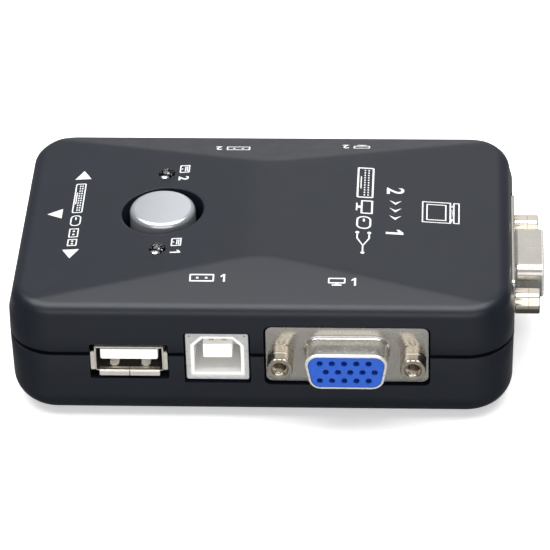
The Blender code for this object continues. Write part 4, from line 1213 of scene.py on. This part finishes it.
def marks():
    down = -90
    port = plug(4.7, 1.85, 0.3)
    printed("mark_usb_1", (-13.35, -23.05), 0, port, [("1", 1.85, 5.9)])
    printed("mark_usb_2", (-4.15, 23.85), 180, port, [("2", 1.85, 5.6)])
    screen = monitor(3.3, 1.9, 0.28)
    printed("mark_computer_1", (12.9, -23.8), 0, screen, [("1", 1.9, 4.4)])
    printed("mark_computer_2", (19.7, 25.2), 180, screen, [("2", 1.9, 4.2)])
    case = computer(2.6, 2.0)
    label_x = LED_SPOT.x / MM + 2.5
    printed("mark_lamp_1", (label_x, -9.65), down, case, [("1", 2.0, 4.0)])
    printed("mark_lamp_2", (label_x, 15.7), down, case, [("2", 2.0, 3.9)])
    head = [arrow(3.25, 2.95)]
    printed("mark_arrow_back", (-36.65, 12.4), 0, head)
    printed("mark_arrow_front", (-36.9, -11.85), 180, head)
    printed("mark_arrow_left", (-39.7, 0.6), 90, head)
    console = keyboard(10.2, 2.1) + shifted(mouse(3.6, 2.1), 11.1)
    console += shifted(plug(3.0, 1.9), 15.6, 0.1) + shifted(plug(2.3, 1.9), 19.2, 0.1)
    printed("mark_console", (-37.9, 10.85), down, console)
    line = keyboard(10.6, 3.3, 0.36) + shifted(monitor(4.6, 3.3, 0.36), 11.5)
    line += shifted(mouse(4.3, 2.9, 0.36), 17.0, 0.2) + shifted(branch(7.5, 3.0), 22.2, 0.15)
    printed("mark_functions", (17.5, 15.5), down, line)
    digits = [("2", 3.4, 0.2), ("1", 3.4, 14.6)]
    printed("mark_ratio", (23.45, 9.15), down, shifted(arrow_row(), 4.6), digits)
    printed("mark_monitor", (37.6, -2.3), 90, screen_picture())


# Inner parts keep their shapes and take better finishes.

INNER_FINISHES = {
    "board_laminate": ("main_board",),
    "black_plastic": ("hub_chip", "video_switch_chip", "regulator", "switch_base", "switch_plunger"),
    "tinned_steel": ("crystal", "switch_cover", "vga_"),
    "capacitor_sleeve": ("capacitor",),
    "spring_steel": ("switch_dome",),
}


def refinish_inner_parts():
    for name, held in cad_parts.items():
        for material, starts in INNER_FINISHES.items():
            if name.startswith(starts):
                held.data.materials.clear()
                held.data.materials.append(FINISHES[material])


# Studio: how bright the room is in each direction, against a floor that shows white at 1.

ROOM_FRONT = 0.4
ROOM_SIDE = 0.12
ROOM_BELOW = 0.4
ROOM_FLOOR = 0.08
GLOW = 0.7
GLOW_TIGHTNESS = 60.0
FLOOR_GLOW = 0.45
FLOOR_SIZE = 3.0
HORIZON = (-0.02, 0.06)
OVERHEAD_SPOT = (-0.04, 0.0, 0.62)
OVERHEAD_SIZE = (0.5, 1.0)
OVERHEAD_POWER = 6.8
FRONT_SPOT = (0.0, -0.85, 0.42)
FRONT_SIZE = (1.2, 0.4)
FRONT_POWER = 2.1


def area_light(name, spot, size, power):
    """An area light that looks at the origin."""
    light = bpy.data.lights.new(name, "AREA")
    light.shape = "RECTANGLE"
    light.size, light.size_y = size
    light.energy = power
    holder = placed(name, light)
    holder.location = spot
    holder.rotation_euler = (-Vector(spot)).to_track_quat("-Z", "Y").to_euler()


def studio_world():
    """A bright room with dark sides, a dim lower half and a glow behind the object."""
    world = bpy.data.worlds.new("studio")
    world.use_nodes = True
    tree = world.node_tree

    def worked(operation, *values):
        return node(tree, "ShaderNodeMath", dict(enumerate(values)), operation=operation).outputs[0]

    towards = node(tree, "ShaderNodeTexCoord").outputs["Generated"]
    x, y, z = node(tree, "ShaderNodeSeparateXYZ", {0: towards}).outputs
    sideways = worked("MULTIPLY", x, x)
    narrow = worked("EXPONENT", worked("MULTIPLY", sideways, -GLOW_TIGHTNESS))
    behind = ranged(tree, y, 0.0, GLOW, 0.0, 0.5)
    sides = ranged(tree, sideways, ROOM_FRONT, ROOM_SIDE, 0.1, 0.6)
    room = worked("ADD", sides, worked("MULTIPLY", narrow, behind))
    above = worked("MULTIPLY", room, ranged(tree, z, 0.0, 1.0, *HORIZON))
    dim = ranged(tree, z, ROOM_BELOW, ROOM_FLOOR, -0.53, -0.88)
    under = worked("MULTIPLY", dim, ranged(tree, sideways, 1.0, 0.3, 0.1, 0.6))
    below = worked("MULTIPLY", under, ranged(tree, z, 0.0, 1.0, *HORIZON[::-1]))
    strength = worked("ADD", above, below)
    background = tree.nodes["Background"]
    background.inputs["Color"].default_value = (1.0, 1.0, 1.0, 1.0)
    tree.links.new(strength, background.inputs["Strength"])
    bpy.context.scene.world = world


def studio():
    sheet = block((-FLOOR_SIZE, -FLOOR_SIZE, -0.02), (FLOOR_SIZE, FLOOR_SIZE, 0.0))
    floor = placed("floor", as_mesh(sheet, "floor"))
    floor.data.materials.append(FINISHES["floor_paper"])
    set_constant("floor_paper", "Emission Color", (1.0, 1.0, 1.0, 1.0))
    set_constant("floor_paper", "Emission Strength", FLOOR_GLOW)
    floor.visible_glossy = False
    area_light("overhead", OVERHEAD_SPOT, OVERHEAD_SIZE, OVERHEAD_POWER)
    area_light("front", FRONT_SPOT, FRONT_SIZE, FRONT_POWER)
    studio_world()


def camera():
    azimuth, elevation, roll = (math.radians(a) for a in (3.5976, 35.1554, -1.6220))
    target, distance = Vector((2.759, -20.106, 26.267)) * MM, 667.18 * MM
    level_reach = math.cos(elevation)
    back = Vector((math.sin(azimuth) * level_reach, -math.cos(azimuth) * level_reach, math.sin(elevation)))
    data = bpy.data.cameras.new("camera")
    data.sensor_width = 36.0
    data.lens = 230.60
    data.clip_start = 0.01
    holder = placed("camera", data)
    holder.rotation_mode = "QUATERNION"
    tilt = (-back).to_track_quat("-Z", "Y").to_matrix() @ Matrix.Rotation(roll, 3, "Z")
    holder.rotation_quaternion = tilt.to_quaternion()
    holder.location = target + back * distance
    bpy.context.scene.camera = holder


bpy.context.scene.view_settings.view_transform = "Standard"
camera()
studio()
top_cover()
bottom_cover()
button_cap()
lamps()
case_screws()
sockets()
marks()
refinish_inner_parts()
